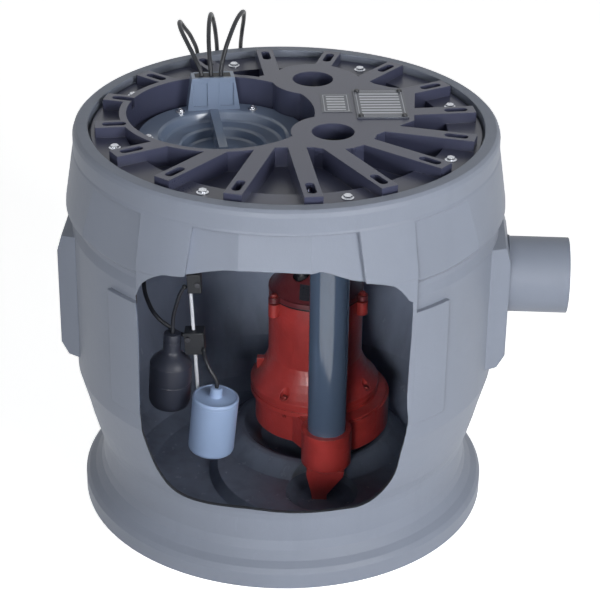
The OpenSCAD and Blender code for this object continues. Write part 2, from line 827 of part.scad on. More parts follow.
module volute() {
    color("#a5281c") difference() {
        union() {
            in_pump() {
                plan(case_bottom, case_bottom + 6) scroll(7);
                plan(case_bottom + 5, case_top - 7) scroll(0);
                plan(case_top - 8, case_top - 4) scroll(4);
                disc(case_r, case_top - 8, case_top);
                for (a = [35, 145]) rotate([0, 0, a]) translate([75, 0, 0])
                    disc(9, plateau_z, case_bottom + 2);
                rotate([0, 0, branch_turn]) translate([60, -32, case_bottom + 2])
                    cube([branch_reach - 60, 64, case_top - case_bottom - 10]);
            }
            at_plan(front_port) {
                disc(socket_r, case_bottom + 5, case_top);
                translate([0, 0, case_bottom - 10]) cylinder(h = 15, r1 = socket_r - 11, r2 = socket_r);
            }
            translate([front_port[0] - 9, front_port[1] - 13, 0]) rotate([90, 0, 0])
                linear_extrude(height = 22) polygon([
                    [-20, case_bottom + 5], [38, case_bottom + 5], [37, case_bottom - 4],
                    [12, floor_t + 9], [12, floor_t], [-11, floor_t], [-12, floor_t + 9],
                    [-20, case_bottom - 4]
                ]);
        }
        in_pump() {
            disc(chamber_r, chamber_floor, case_top + cut);
            disc(40, case_bottom - cut, chamber_floor + cut);
            around(4, -118) translate([case_bolt_circle, 0, 0])
                disc(3.1, case_top - 18, case_top + cut);
            translate([0, 0, case_bottom + 30]) rotate([0, 0, branch_turn]) rotate([0, 90, 0])
                translate([0, 0, 50]) cylinder(h = branch_reach - 50, r = 20);
        }
        at_plan(front_port) {
            disc(pipe_r + bore_gap, pipe_seat, case_top + cut);
            disc(pipe_r - 4, case_bottom + 10, case_top);
        }
    }
}

module volute_bolts() {
    color("#7c231b") in_pump() around(4, -118) translate([case_bolt_circle, 0, 0])
        bolt(6.5, 6, 3, case_top - 16, housing_bottom + housing_flange);
}

module seal_housing() {
    color("#8c2a20") in_pump() difference() {
        union() {
            disc(case_r - 1, case_top, housing_bottom);
            disc(30, case_top - 10, housing_bottom);
            disc(chamber_r - seat_gap, case_top - 3, housing_bottom);
        }
        disc(20, case_top - 4, housing_bottom + cut);
        disc(shaft_r + 1, case_top - 11, case_top);
        around(4, -118) translate([case_bolt_circle, 0, 0])
            disc(3.2, case_top - cut, housing_bottom + cut);
    }
}

module shaft_seal() {
    color("#3a3b40") in_pump() ring(20 - bore_gap, shaft_r + run_gap, case_top - 4, housing_bottom);
}

module impeller() {
    hub_z = chamber_floor + 6;
    vane_h = 26;
    color("#b9a77a") in_pump() difference() {
        union() {
            disc(16, hub_z, hub_z + vane_h + 8);
            disc(impeller_r, hub_z + vane_h, hub_z + vane_h + 5);
            around(6, 25) translate([13, -3, hub_z + 1.5])
                cube([impeller_r - 22, 5, vane_h]);
        }
        disc(shaft_r + bore_gap, hub_z + 8, hub_z + vane_h + 9);
    }
}

module shaft() {
    color("#b9bcc2") in_pump() disc(shaft_r, chamber_floor + 15, motor_top + 6);
}

module rotor_core() {
    color("#6c6f76") in_pump() ring(rotor_r, shaft_r + bore_gap, stator_z, stator_z + stator_h);
}

module stator() {
    color("#9a6a3c") in_pump() {
        ring(stator_r, rotor_r + 0.6, stator_z, stator_z + stator_h);
        ring(stator_r - 7, rotor_r + 3, stator_z - 12, stator_z + stator_h + 14);
    }
}

module upper_bearing() {
    color("#c2c5cb") in_pump()
        ring(upper_bearing_r - run_gap, shaft_r + run_gap, cap_bottom - 4,
             cap_bottom - 4 + upper_bearing_h);
}

module lower_bearing() {
    color("#c2c5cb") in_pump()
        ring(lower_bearing_r - run_gap, shaft_r + run_gap, bearing_plate_z,
             bearing_plate_z + lower_bearing_h);
}

module motor_housing() {
    inner = motor_r - motor_wall;
    color("#a8291d") in_pump() difference() {
        union() {
            rotate_extrude() polygon([
                [0, housing_bottom], [case_r, housing_bottom],
                [case_r, housing_bottom + housing_flange - 2],
                [case_r - 1.6, housing_bottom + housing_flange - 0.4],
                [case_r - 5, housing_bottom + 13],
                [case_r - 13, housing_bottom + 23], [case_r - 20, housing_bottom + 34],
                [motor_r + 3, housing_bottom + 46], [motor_r, shoulder_z], [motor_r, motor_top],
                [0, motor_top]
            ]);
            for (a = cap_bolt_turns) rotate([0, 0, a]) translate([cap_bolt_circle, 0, 0])
                disc(9, motor_top - 22, motor_top);
            translate([-93, -6, housing_bottom + 5]) cube([30, 12, 34]);
        }
        disc(inner, bearing_plate_z + lower_bearing_h, motor_top + cut);
        disc(inner + 2, motor_top - 7, motor_top + cut);
        disc(lower_bearing_r, bearing_plate_z, bearing_plate_z + lower_bearing_h + cut);
        disc(shaft_r + 2, housing_bottom - cut, bearing_plate_z + cut);
        ring(inner, 34, housing_bottom - cut, bearing_plate_z - 6);
        for (a = cap_bolt_turns) rotate([0, 0, a]) translate([cap_bolt_circle, 0, 0])
            disc(3.1, motor_top - 18, motor_top + cut);
        around(4, -118) translate([case_bolt_circle, 0, 0])
            disc(3.2, housing_bottom - cut, housing_bottom + 40);
        around(4, -118) translate([case_bolt_circle, 0, 0])
            disc(7.3, housing_bottom + housing_flange, housing_bottom + 41);
    }
}

module cap_gasket() {
    color("#1d1e21") in_pump() ring(motor_r - 0.5, motor_r - motor_wall - 1, motor_top, cap_bottom);
}

module motor_cap() {
    inner = motor_r - motor_wall;
    neck = motor_r - 29.6;
    color("#a8291d") difference() {
        union() {
            in_pump() {
                rotate_extrude() polygon([
                    [0, cap_bottom], [motor_r + 0.6, cap_bottom], [motor_r + 0.6, cap_bottom + 8],
                    [motor_r - 2, cap_bottom + 9], [neck, cap_top - 7], [neck - 6, cap_top - 2],
                    [neck - 14, cap_top], [0, cap_top]
                ]);
                for (a = cap_bolt_turns) rotate([0, 0, a]) translate([cap_bolt_circle, 0, 0])
                    disc(9, cap_bottom, cap_bottom + 8.5);
            }
            at_plan(gland_at) disc(gland_r + 4, gland_z - 20, gland_z);
        }
        in_pump() difference() {
            rotate_extrude() polygon([
                [0, cap_bottom - cut], [inner, cap_bottom - cut], [inner, cap_bottom + 6],
                [neck - 5, cap_top - 12], [neck - 10, cap_top - 7], [0, cap_top - 7]
            ]);
            disc(upper_bearing_r + 5, cap_bottom - 3, cap_top);
        }
        in_pump() disc(upper_bearing_r, cap_bottom - 5, cap_bottom - 4 + upper_bearing_h);
        at_plan(gland_at) disc(9, cap_bottom - 5, gland_z + cut);
        at_plan(gland_at) disc(gland_r + 1.5, gland_z, cap_top + cut);
        in_pump() for (a = cap_bolt_turns) rotate([0, 0, a]) translate([cap_bolt_circle, 0, 0]) {
            disc(3.2, cap_bottom - cut, cap_bottom + 9);
            disc(7.5, cap_bottom + 8.5, cap_bottom + 20);
        }
    }
}

module cap_bolts() {
    color("#6f1d16") in_pump() for (a = cap_bolt_turns)
        rotate([0, 0, a]) translate([cap_bolt_circle, 0, 0])
            bolt(7, 5, 3, motor_top - 16, cap_bottom + 8.5);
}

module cable_gland() {
    color("#17181b") at_plan(gland_at) difference() {
        union() {
            hex_head(gland_r, gland_z, gland_z + 10);
            translate([0, 0, gland_z + 10]) cylinder(h = gland_h - 10, r1 = gland_r - 2, r2 = 6.5);
            disc(9 - bore_gap, cap_bottom + 12, gland_z + cut);
        }
        disc(cord_r + bore_gap, cap_bottom, gland_z + gland_h + cut);
    }
}

module pump_label() {
    color("#2a2b30") in_pump() intersection() {
        difference() {
            rotate_extrude() polygon([
                [motor_r - 1.3, cap_bottom + 9], [motor_r - 28.9, cap_top - 7],
                [motor_r - 31, cap_top - 7], [motor_r - 3.6, cap_bottom + 9]
            ]);
            rotate_extrude() polygon([
                [0, cap_bottom], [motor_r - 2 + seat_gap, cap_bottom],
                [motor_r - 2 + seat_gap, cap_bottom + 9], [motor_r - 29.6 + seat_gap, cap_top - 7],
                [0, cap_top]
            ]);
        }
        rotate([0, 0, -90]) translate([30, -24, cap_bottom + 13]) cube([50, 48, 18]);
    }
}

module terminal_board() {
    color("#7a5b2e") in_pump()
        ring(motor_r - motor_wall + 2 - seat_gap, upper_bearing_r + 7, motor_top - 7, motor_top - 5);
}

module run_capacitor() {
    color("#2f3136") in_pump() translate([-25, 43, motor_top - 5 + 10]) rotate([0, 90, 0])
        disc(9.9, 0, 50);
}

// Level control
module on_rod(z) {
    translate([rod_at[0] + (rod_top - z) * tan(rod_lean), rod_at[1], z])
        rotate([0, -rod_lean, 0]) children();
}

module float_rod() {
    color("#c9ccd2") on_rod(rod_top) disc(rod_r, -rod_length, 0);
}

module rod_bracket() {
    away = [rod_at[0] - lid_at[0], rod_at[1] - lid_at[1]];
    color("#3a3c43") difference() {
        union() {
            at_plan(lid_at) rotate([0, 0, atan2(away[1], away[0])])
                translate([71, -13, lid_under - lid_step - 6]) cube([18, 26, 6 - seat_gap]);
            at_plan(lid_at) rotate([0, 0, atan2(away[1], away[0])])
                translate([84, -13, lid_under - lid_step - 12]) cube([20, 26, 9]);
            on_rod(rod_top) disc(9, -22, 0);
        }
        on_rod(rod_top) disc(rod_r + bore_gap, -30, 10);
    }
}

module clamp_form(size, off, bottom) {
    on_rod(bottom) difference() {
        translate([off[0], off[1], 0]) block(size, 0);
        disc(rod_r + bore_gap, -cut, size[2] + cut);
    }
}

module upper_clamp() {
    color("#1e1f23") difference() {
        clamp_form(upper_clamp_size, [7, 0], upper_clamp_z);
        translate(alarm_hinge) sphere(r = tether_r + socket_gap + 1, $fn = 40);
        on_rod(upper_clamp_z) translate([12.5, -20, 15]) rotate([-90, 0, 0])
            cylinder(h = 40, r = 2.1);
    }
}

module lower_clamp() {
    color("#1e1f23") difference() {
        clamp_form(lower_clamp_size, [1.5, -1], lower_clamp_z);
        translate(switch_hinge) sphere(r = tether_r + socket_gap + 1, $fn = 40);
        on_rod(lower_clamp_z) translate([-8, -20, 27]) rotate([-90, 0, 0])
            cylinder(h = 40, r = 2.1);
    }
}

module clamp_screws() {
    color("#a9acb3") {
        on_rod(upper_clamp_z) translate([12.5, -11, 15]) rotate([-90, 0, 0]) {
            disc(4, -3, 0);
            disc(2, -cut, 20);
        }
        on_rod(lower_clamp_z) translate([-8, -14, 27]) rotate([-90, 0, 0]) {
            disc(4, -3, 0);
            disc(2, -cut, 24);
        }
    }
}

module at_alarm() {
    translate(alarm_at) rotate([0, alarm_lean, 0]) children();
}

module at_switch() {
    translate(switch_at) rotate([0, switch_lean, 0]) children();
}

module alarm_float() {
    r = alarm_r;
    w = float_wall;
    color("#2b2d33") at_alarm() difference() {
        rotate_extrude() polygon([
            [0, -57], [r - 9, -57], [r - 3, -52], [r, -43], [r, 17], [r - 4, 25], [r - 13, 32],
            [float_neck_r + 1.2, 37], [float_neck_r, 41], [float_neck_r, 67],
            [float_neck_r - 2, 69], [0, 69]
        ]);
        rotate_extrude() polygon([
            [0, -57 + w], [r - 10, -57 + w], [r - 3 - w, -50], [r - w, -42], [r - w, 16],
            [r - w - 5, 23], [float_neck_r, 29], [0, 29]
        ]);
        disc(tether_r + bore_gap, 40, 70);
    }
}

module alarm_capsule() {
    color("#7d8087") at_alarm() disc(8, -57 + float_wall, 29 - seat_gap);
}

module alarm_tether() {
    color("#1b1c1f") {
        cord(alarm_tether_route, tether_r, 4, 10);
        translate(alarm_hinge) sphere(r = tether_r + 1, $fn = 40);
    }
}

module switch_float() {
    r = switch_r;
    w = float_wall;
    h = switch_h / 2;
    color("#8ba0b8") at_switch() difference() {
        rotate_extrude() polygon([
            [0, -h], [r - 7, -h], [r - 2, -h + 2], [r, -h + 7], [r, h - 6], [r - 2, h - 2],
            [r - 6, h], [switch_neck_r + 2, h], [switch_neck_r, h + 2], [switch_neck_r, h + 12],
            [switch_neck_r - 2, h + 14], [0, h + 14]
        ]);
        rotate_extrude() polygon([
            [0, -h + w], [r - 8, -h + w], [r - w, -h + 8], [r - w, h - 8], [r - 8, h - w],
            [0, h - w]
        ]);
        disc(tether_r + bore_gap, h + 3, h + 15);
    }
}

module switch_capsule() {
    h = switch_h / 2;
    color("#7d8087") at_switch() disc(9, -h + float_wall, h - float_wall - seat_gap);
}

module switch_tether() {
    color("#1b1c1f") {
        cord(switch_tether_route, tether_r, 4, 10);
        translate(switch_hinge) sphere(r = tether_r + 1, $fn = 40);
    }
}

// Cords
module pump_cord_inside() { color("#1b1c1f") cord(pump_route_inside, cord_r); }
module switch_cord_inside() { color("#1b1c1f") cord(switch_route_inside, cord_r); }
module alarm_cord_inside() { color("#1b1c1f") cord(alarm_route_inside, cord_r); }
module pump_cord() { color("#1b1c1f") cord(pump_route, cord_r); }
module switch_cord() { color("#1b1c1f") cord(switch_route, cord_r); }
module alarm_cord() { color("#1b1c1f") cord(alarm_route, cord_r); }

module coil(x) {
    color("#202124") translate([x, coil_y, 0]) rotate_extrude() polygon([
        [coil_r - coil_w / 2, 4], [coil_r - coil_w / 2 + 4, 0], [coil_r + coil_w / 2 - 4, 0],
        [coil_r + coil_w / 2, 4], [coil_r + coil_w / 2, coil_h - 4],
        [coil_r + coil_w / 2 - 4, coil_h], [coil_r - coil_w / 2 + 4, coil_h],
        [coil_r - coil_w / 2, coil_h - 4]
    ]);
}

module pump_cord_coil() { coil(coil_xs[0]); }
module switch_cord_coil() { coil(coil_xs[1]); }
module alarm_cord_coil() { coil(coil_xs[2]); }

// Plug with its boot, lying behind a coil with its pins pointing away
module plug(x, size, pins) {
    boot_r = 7;
    boot_l = 26;
    along = x - coil_r - 9;
    start = coil_y + 36;
    color("#1d1e21") translate([along, start, boot_r]) rotate([-90, 0, 0])
        cylinder(h = boot_l, r1 = cord_r + 1, r2 = boot_r);
    color("#1d1e21") translate([along, start + boot_l - 2 + size[1] / 2, 0]) block(size, 0);
    color("#c9a45c") for (p = pins)
        translate([along + p - 0.8, start + boot_l - 2 + size[1] - cut, size[2] / 2 - 3])
            cube([1.6, 17, 6]);
}

module pump_plug() { plug(coil_xs[0], [30, 44, 24], [-6.3, 6.3]); }
module switch_plug() { plug(coil_xs[1], [32, 54, 28], [-6.3, 6.3]); }
module alarm_plug() { plug(coil_xs[2], [24, 34, 20], [-6.3, 6.3]); }

module cord_ties() {
    color("#2c2d31") for (x = coil_xs) translate([x, coil_y, 0]) rotate([0, 0, -90])
            translate([coil_r, 0, 0]) difference() {
        translate([-coil_w / 2 - 1.4, -3, 0]) cube([coil_w + 2.8, 6, coil_h + 1.4]);
        translate([-coil_w / 2 - 0.2, -4, -cut]) cube([coil_w + 0.4, 8, coil_h + 0.2 + cut]);
    }
}

basin();
inlet_stub();
cover_inserts();
cover_gasket();
cover();
cover_bolts();
access_lid();
lid_gasket();
lid_bolts();
cord_seal();
nameplate();
nameplate_screws();
info_label();
discharge_seal();
vent_seal();
discharge_pipe();
volute();
volute_bolts();
seal_housing();
shaft_seal();
impeller();
shaft();
rotor_core();
stator();
upper_bearing();
lower_bearing();
motor_housing();
cap_gasket();
motor_cap();
cap_bolts();
cable_gland();
pump_label();
terminal_board();
run_capacitor();
float_rod();
rod_bracket();
upper_clamp();
lower_clamp();
clamp_screws();
alarm_float();
alarm_capsule();
alarm_tether();
switch_float();
switch_capsule();
switch_tether();
pump_cord_inside();
switch_cord_inside();
alarm_cord_inside();
pump_cord();
switch_cord();
alarm_cord();
pump_cord_coil();
switch_cord_coil();
alarm_cord_coil();
pump_plug();
switch_plug();
alarm_plug();
cord_ties();
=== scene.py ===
# Sump pump package: basin, ribbed cover, access lid, pump, pipe, floats and cords.
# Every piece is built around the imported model, in metres, in the same frame.

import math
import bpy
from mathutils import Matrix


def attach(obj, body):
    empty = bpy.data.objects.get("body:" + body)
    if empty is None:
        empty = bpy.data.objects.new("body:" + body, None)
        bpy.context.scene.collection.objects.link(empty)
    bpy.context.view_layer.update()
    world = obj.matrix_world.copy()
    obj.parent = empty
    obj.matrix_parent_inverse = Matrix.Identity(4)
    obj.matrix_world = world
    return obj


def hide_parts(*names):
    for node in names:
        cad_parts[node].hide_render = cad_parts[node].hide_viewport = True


bl_info = {
    "name": "Sump pump package",
    "version": (1, 0, 0),
    "blender": (4, 5, 0),
    "location": "View3D > Sidebar > Sump pump",
    "description": "Dresses the packed sump pump package for rendering",
    "category": "Object",
}

import bpy
from mathutils import Matrix, Vector

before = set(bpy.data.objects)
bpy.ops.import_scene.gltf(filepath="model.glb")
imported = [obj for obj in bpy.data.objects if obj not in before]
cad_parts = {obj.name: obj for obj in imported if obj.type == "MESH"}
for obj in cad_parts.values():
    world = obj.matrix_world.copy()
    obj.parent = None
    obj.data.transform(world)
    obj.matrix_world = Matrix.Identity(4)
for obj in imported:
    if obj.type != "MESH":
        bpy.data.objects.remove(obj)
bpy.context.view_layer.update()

MM = 0.001


def mm(*values):
    """Millimetres as a vector in metres."""
    return Vector(values) * MM


def shade(code):
    """A colour written as six hex digits, as linear red, green, blue."""
    levels = [int(code[i : i + 2], 16) / 255 for i in (0, 2, 4)]
    return tuple(v / 12.92 if v <= 0.04045 else ((v + 0.055) / 1.055) ** 2.4 for v in levels)


# Turn of the cover's ribs and bolts in degrees, and the upright axes of pump and lid
COVER_TURN = 10.25
PUMP_AT = mm(45, 90, 0)
LID_AT = mm(-95, 19, 0)

# Behind the basin, in millimetres: the coils' middle, where the boots start and where they end
COIL_Y = 410
BOOT_Y = 446
PLUG_Y = 470

# Height of a lying cord's middle over the floor, in radii, so that it doesn't cut in
LYING = 1.03

# Faces closer than this angle in degrees are shaded as one
SMOOTH_ANGLE = 32

# Cord routes, from the seal outwards, in millimetres
PUMP_ROUTE = [
    (-107, 133, 616), (-107, 133, 628), (-103, 141, 655), (-94, 160, 682), (-85, 190, 698),
    (-79, 218, 698), (-80, 250, 677), (-86, 290, 636), (-90, 318, 600), (-90, 334, 550),
    (-90, 340, 480), (-90, 342, 300), (-86, 343, 120), (-78, 348, 62), (-58, 362, 22),
    (-38, 384, 6), (-29.9, 410, 3.6),
]
SWITCH_ROUTE = [
    (-122, 132, 616), (-122, 132, 628), (-125, 142, 653), (-128, 168, 681), (-129, 215, 693),
    (-128, 250, 672), (-127, 280, 640), (-127, 308, 600), (-128, 326, 550), (-129, 336, 480),
    (-131, 340, 300), (-134, 343, 120), (-136, 348, 62), (-138, 362, 22), (-139.6, 385, 6),
    (-139.9, 410, 3.6),
]
ALARM_ROUTE = [
    (-136, 131, 616), (-136, 131, 626), (-147, 141, 649), (-159, 158, 665), (-173, 188, 679),
    (-177, 215, 680), (-174, 240, 664), (-164, 280, 628), (-158, 308, 590), (-161, 322, 540),
    (-166, 330, 480), (-186, 330, 300), (-214, 330, 120), (-226, 336, 62), (-238, 350, 22),
    (-248, 380, 6), (-249.9, 410, 3.6),
]
PUMP_INSIDE = [
    (-107, 133, 616), (-107, 133, 590), (-107, 133, 566), (-96, 130, 540), (-64, 118, 505),
    (-22, 96, 465), (10, 76, 425), (22, 64, 385), (24, 62, 360), (24, 62, 350),
]
SWITCH_INSIDE = [
    (-122, 132, 616), (-122, 132, 590), (-122, 132, 560), (-130, 126, 530), (-160, 104, 490),
    (-196, 70, 430), (-216, 40, 370), (-218, 10, 334), (-207, -22, 312), (-192, -37, 296),
    (-174, -40, 282), (-160, -44, 274), (-151, -46, 272),
]
ALARM_INSIDE = [
    (-136, 131, 616), (-136, 131, 590), (-136, 131, 560), (-140, 110, 532), (-146, 60, 522),
    (-148, 0, 512), (-146, -34, 480), (-142, -40, 440), (-138, -41, 405), (-137, -41, 386),
]
ALARM_TETHER = [
    (-148, -61, 362), (-154, -61, 352), (-160.5, -61, 332), (-165.7, -61, 309.85),
    (-167.09, -61, 284.9), (-168.6, -61, 257.9),
]
SWITCH_TETHER = [
    (-119, -74.2, 262), (-117, -82, 257), (-110, -92, 243), (-101.5, -97, 230),
    (-96.89, -98, 219.2), (-97.53, -98, 212.24), (-98.35, -98, 203.28),
]

# Outlines of the floats, from the bottom up, as radius and height in millimetres
ALARM_FLOAT = [
    (22.0, -57), (25.6, -56.4), (28.4, -54.2), (30.4, -50.5), (31.8, -46.5), (32.6, -41.5),
    (32.6, -14), (32.1, -13.4), (32.1, -12.4), (32.6, -11.8), (32.6, 15.2), (32.3, 17.4),
    (31.4, 18.2), (29.6, 22.2), (20.4, 31.0), (15.4, 35.6), (13.6, 38.6), (13.4, 41),
    (13.4, 54), (12.9, 54.5), (12.9, 55.5), (13.4, 56), (13.4, 66.6), (12.6, 68.3), (11.2, 69),
    (4.4, 69), (3.4, 68.2),
]
SWITCH_FLOAT = [
    (28.0, -48), (31.6, -47.4), (33.7, -45.8), (34.9, -43.2), (35.3, -40.2), (35.3, 38.2),
    (34.9, 38.8), (34.9, 39.8), (35.5, 40.4), (35.5, 43.6), (34.8, 45.6), (33.2, 46.9),
    (31.6, 47.0), (30.9, 45.9), (12.4, 46.2), (10.4, 47.4), (9.6, 50), (9.5, 59.6), (8.8, 61.4),
    (7.6, 62), (4.2, 62), (3.3, 61.2),
]


class StageSettings(bpy.types.PropertyGroup):
    """Camera and light."""

    camera_place: bpy.props.FloatVectorProperty(
        name="Camera place", description="Where the camera stands", size=3,
        default=(0.1204, -2.6750, 1.7267), subtype="TRANSLATION", unit="LENGTH")
    camera_pan: bpy.props.FloatProperty(
        name="Camera pan", description="Turn of the view from +Y towards +X",
        default=-0.03636, subtype="ANGLE")
    camera_tilt: bpy.props.FloatProperty(
        name="Camera tilt", description="How far the view points down",
        default=0.485591, subtype="ANGLE")
    camera_roll: bpy.props.FloatProperty(
        name="Camera roll", description="Roll of the camera about its view",
        default=0.014271, subtype="ANGLE")
    lens: bpy.props.FloatProperty(
        name="Lens", description="Focal length on a 36 mm sensor, in millimetres",
        default=118.54, min=20.0, max=300.0)
    key_power: bpy.props.FloatProperty(
        name="Key light", description="Power of the large light right of the camera",
        default=56.0, min=0.0, unit="POWER")
    window_power: bpy.props.FloatProperty(
        name="Window light", description="Power of the low light that reaches in at the window",
        default=2.1, min=0.0, unit="POWER")
    fill_power: bpy.props.FloatProperty(
        name="Fill light", description="Power of the light at the left",
        default=0.5, min=0.0, unit="POWER")
    sky_level: bpy.props.FloatProperty(
        name="Sky", description="Strength of the even light from all round",
        default=0.18, min=0.0, max=2.0)
    floor_colour: bpy.props.FloatVectorProperty(
        name="Floor", description="Colour of the floor", size=3,
        default=(0.93, 0.93, 0.93), subtype="COLOR", min=0.0, max=1.0)


class CordSettings(bpy.types.PropertyGroup):
    """Cords and their coils."""

    radius: bpy.props.FloatProperty(
        name="Cord radius", description="Radius of each cord", default=3.4 * MM,
        min=2.5 * MM, max=3.8 * MM, subtype="DISTANCE", unit="LENGTH")
    tether_radius: bpy.props.FloatProperty(
        name="Tether radius", description="Radius of each float's tether", default=3.0 * MM,
        min=2.5 * MM, max=3.4 * MM, subtype="DISTANCE", unit="LENGTH")
    coil_radius: bpy.props.FloatProperty(
        name="Coil radius", description="Radius of a coil at the middle of its turns",
        default=38.0 * MM, subtype="DISTANCE", unit="LENGTH")
    layer_turns: bpy.props.FloatProperty(
        name="Turns in a layer", description="Turns in each of a coil's two layers",
        default=3.5, min=2.5, max=4.5)


class ColourSettings(bpy.types.PropertyGroup):
    """Colours of the main pieces."""

    basin: bpy.props.FloatVectorProperty(
        name="Basin", description="Moulded basin", size=3, default=shade("7C8391"),
        subtype="COLOR", min=0.0, max=1.0)
    cover: bpy.props.FloatVectorProperty(
        name="Cover", description="Ribbed cover", size=3, default=shade("3F4257"),
        subtype="COLOR", min=0.0, max=1.0)
    lid: bpy.props.FloatVectorProperty(
        name="Access lid", description="Dished lid over the sump", size=3,
        default=shade("7B8AA2"), subtype="COLOR", min=0.0, max=1.0)
    pump: bpy.props.FloatVectorProperty(
        name="Pump", description="Enamel of the pump castings", size=3,
        default=shade("B03B38"), subtype="COLOR", min=0.0, max=1.0)
    pipe: bpy.props.FloatVectorProperty(
        name="Pipe", description="Discharge pipe", size=3, default=shade("53637A"),
        subtype="COLOR", min=0.0, max=1.0)


class PackageSettings(bpy.types.PropertyGroup):
    """All settings of the package."""

    stage: bpy.props.PointerProperty(type=StageSettings)
    cords: bpy.props.PointerProperty(type=CordSettings)
    colours: bpy.props.PointerProperty(type=ColourSettings)


# Materials
class Field:
    """A socket of a material's nodes. Sums and products on it add Math nodes."""

    def __init__(self, finish, socket):
        self.finish = finish
        self.socket = socket

    def maths(self, operation, other=None, swapped=False):
        """A Math node on this field and another field or number."""
        node = self.finish.node("ShaderNodeMath", {"operation": operation})
        pair = [self] if other is None else [self, other]
        if swapped:
            pair.reverse()
        for socket, value in zip(node.inputs, pair):
            self.finish.join(value, socket)
        return Field(self.finish, node.outputs[0])

    def __add__(self, other):
        return self.maths("ADD", other)

    def __radd__(self, other):
        return self.maths("ADD", other)

    def __sub__(self, other):
        return self.maths("SUBTRACT", other)

    def __rsub__(self, other):
        return self.maths("SUBTRACT", other, swapped=True)

    def __mul__(self, other):
        return self.maths("MULTIPLY", other)

    def __rmul__(self, other):
        return self.maths("MULTIPLY", other)

    def step(self, low, high):
        """0 below low, 1 above high, smooth between."""
        return self.finish.field(
            "ShaderNodeMapRange", {"interpolation_type": "SMOOTHSTEP"},
            Value=self, From_Min=low, From_Max=high)


class Finish:
    """One material and the nodes that make it up."""

    def __init__(self, name, roughness=0.5, metallic=0.0, coat=0.0, coat_roughness=0.2, gloss=0.36):
        self.material = bpy.data.materials.new(name)
        self.material.use_nodes = True
        self.tree = self.material.node_tree
        self.shader = self.tree.nodes["Principled BSDF"]
        self.shader.inputs["Roughness"].default_value = roughness
        self.shader.inputs["Metallic"].default_value = metallic
        self.shader.inputs["Coat Weight"].default_value = coat
        self.shader.inputs["Specular IOR Level"].default_value = gloss
        self.shader.inputs["Coat Roughness"].default_value = coat_roughness

    def join(self, value, socket):
        """Links a field to a socket, or writes a plain value there."""
        if isinstance(value, Field):
            self.tree.links.new(value.socket, socket)
        elif socket.type == "RGBA":
            socket.default_value = tuple(value)[:3] + (1.0,)
        else:
            socket.default_value = value

    def node(self, kind, settings=None, **sockets):
        """A node with its settings and the values of its sockets."""
        node = self.tree.nodes.new(kind)
        for name, value in (settings or {}).items():
            setattr(node, name, value)
        for name, value in sockets.items():
            self.join(value, node.inputs[name.replace("_", " ")])
        return node

    def field(self, kind, settings=None, output=0, **sockets):
        """One output of a new node."""
        return Field(self, self.node(kind, settings, **sockets).outputs[output])

    def place(self, scale):
        """Coordinates on the object, stretched by scale."""
        where = self.field("ShaderNodeTexCoord", output="Object")
        return self.field("ShaderNodeMapping", Vector=where, Scale=scale)

    def axis(self, name):
        """One of the object's coordinates, in metres."""
        where = self.field("ShaderNodeTexCoord", output="Object")
        return self.field("ShaderNodeSeparateXYZ", output=name, Vector=where)

    def noise(self, scale, detail=3.0, stretch=(1, 1, 1), roughness=0.5):
        """Noise from 0 to 1, with scale grains in each metre."""
        return self.field(
            "ShaderNodeTexNoise", output="Fac", Vector=self.place(stretch), Scale=scale,
            Detail=detail, Roughness=roughness)

    def blend(self, amount, first, second):
        """A colour between two others."""
        mix = self.node("ShaderNodeMix", {"data_type": "RGBA"})
        self.join(amount, mix.inputs["Factor"])
        self.join(first, mix.inputs[6])
        self.join(second, mix.inputs[7])
        return Field(self, mix.outputs[2])

    def edges(self, radius):
        """1 along sharp outer and inner edges, 0 on open surfaces."""
        soft = self.field("ShaderNodeBevel", {"samples": 4}, Radius=radius)
        flat = self.field("ShaderNodeNewGeometry", output="Normal")
        same = self.node("ShaderNodeVectorMath", {"operation": "DOT_PRODUCT"})
        self.join(soft, same.inputs[0])
        self.join(flat, same.inputs[1])
        return (1.0 - Field(self, same.outputs["Value"])).step(0.1, 0.35)

    def facing_up(self):
        """1 on level surfaces that face up, 0 on walls."""
        flat = self.field("ShaderNodeNewGeometry", output="Normal")
        return self.field("ShaderNodeSeparateXYZ", output="Z", Vector=flat).step(0.5, 0.95)

    def relief(self, height, distance, strength=1.0, round_edges=0.0):
        """Bump from a height field, over edges softened by a radius."""
        node = self.node("ShaderNodeBump", Height=height, Distance=distance, Strength=strength)
        if round_edges:
            self.join(
                self.field("ShaderNodeBevel", {"samples": 4}, Radius=round_edges),
                node.inputs["Normal"])
        self.join(Field(self, node.outputs[0]), self.shader.inputs["Normal"])

    def colour(self, value):
        """Sets the colour."""
        self.join(value, self.shader.inputs["Base Color"])

    def rough(self, value):
        """Sets the roughness."""
        self.join(value, self.shader.inputs["Roughness"])


def tinted(colour, factor):
    """A colour made lighter or darker."""
    return tuple(min(1.0, c * factor) for c in colour[:3])


def moulded_plastic(
        name, colour, roughness, grain=1.0, edge=1.2, round_edges=0.0012, gloss=0.36):
    """Moulded plastic: fine peel, slow clouding, and edges painted paler by the factor edge, partly
    rubbed wear and partly a painted highlight.
    """
    finish = Finish(name, gloss=gloss)
    cloud = finish.noise(5.0, 4.0)
    speck = finish.noise(420.0, 2.0)
    # Edges painted paler: rubbed wear and a painted highlight
    rubbed_and_highlit = finish.edges(0.0022) * finish.noise(45.0, 3.0).step(0.25, 0.55)
    base = finish.blend(cloud.step(0.25, 0.75), tinted(colour, 0.92), tinted(colour, 1.07))
    base = finish.blend(rubbed_and_highlit * 0.55, base, tinted(colour, edge))
    finish.colour(base)
    finish.rough(cloud * 0.10 + speck * 0.08 + (roughness - 0.09))
    finish.relief(
        finish.noise(900.0, 3.0) * 0.6 + finish.noise(160.0, 2.0) * 0.8, 0.00035 * grain, 0.6,
        round_edges)
    return finish


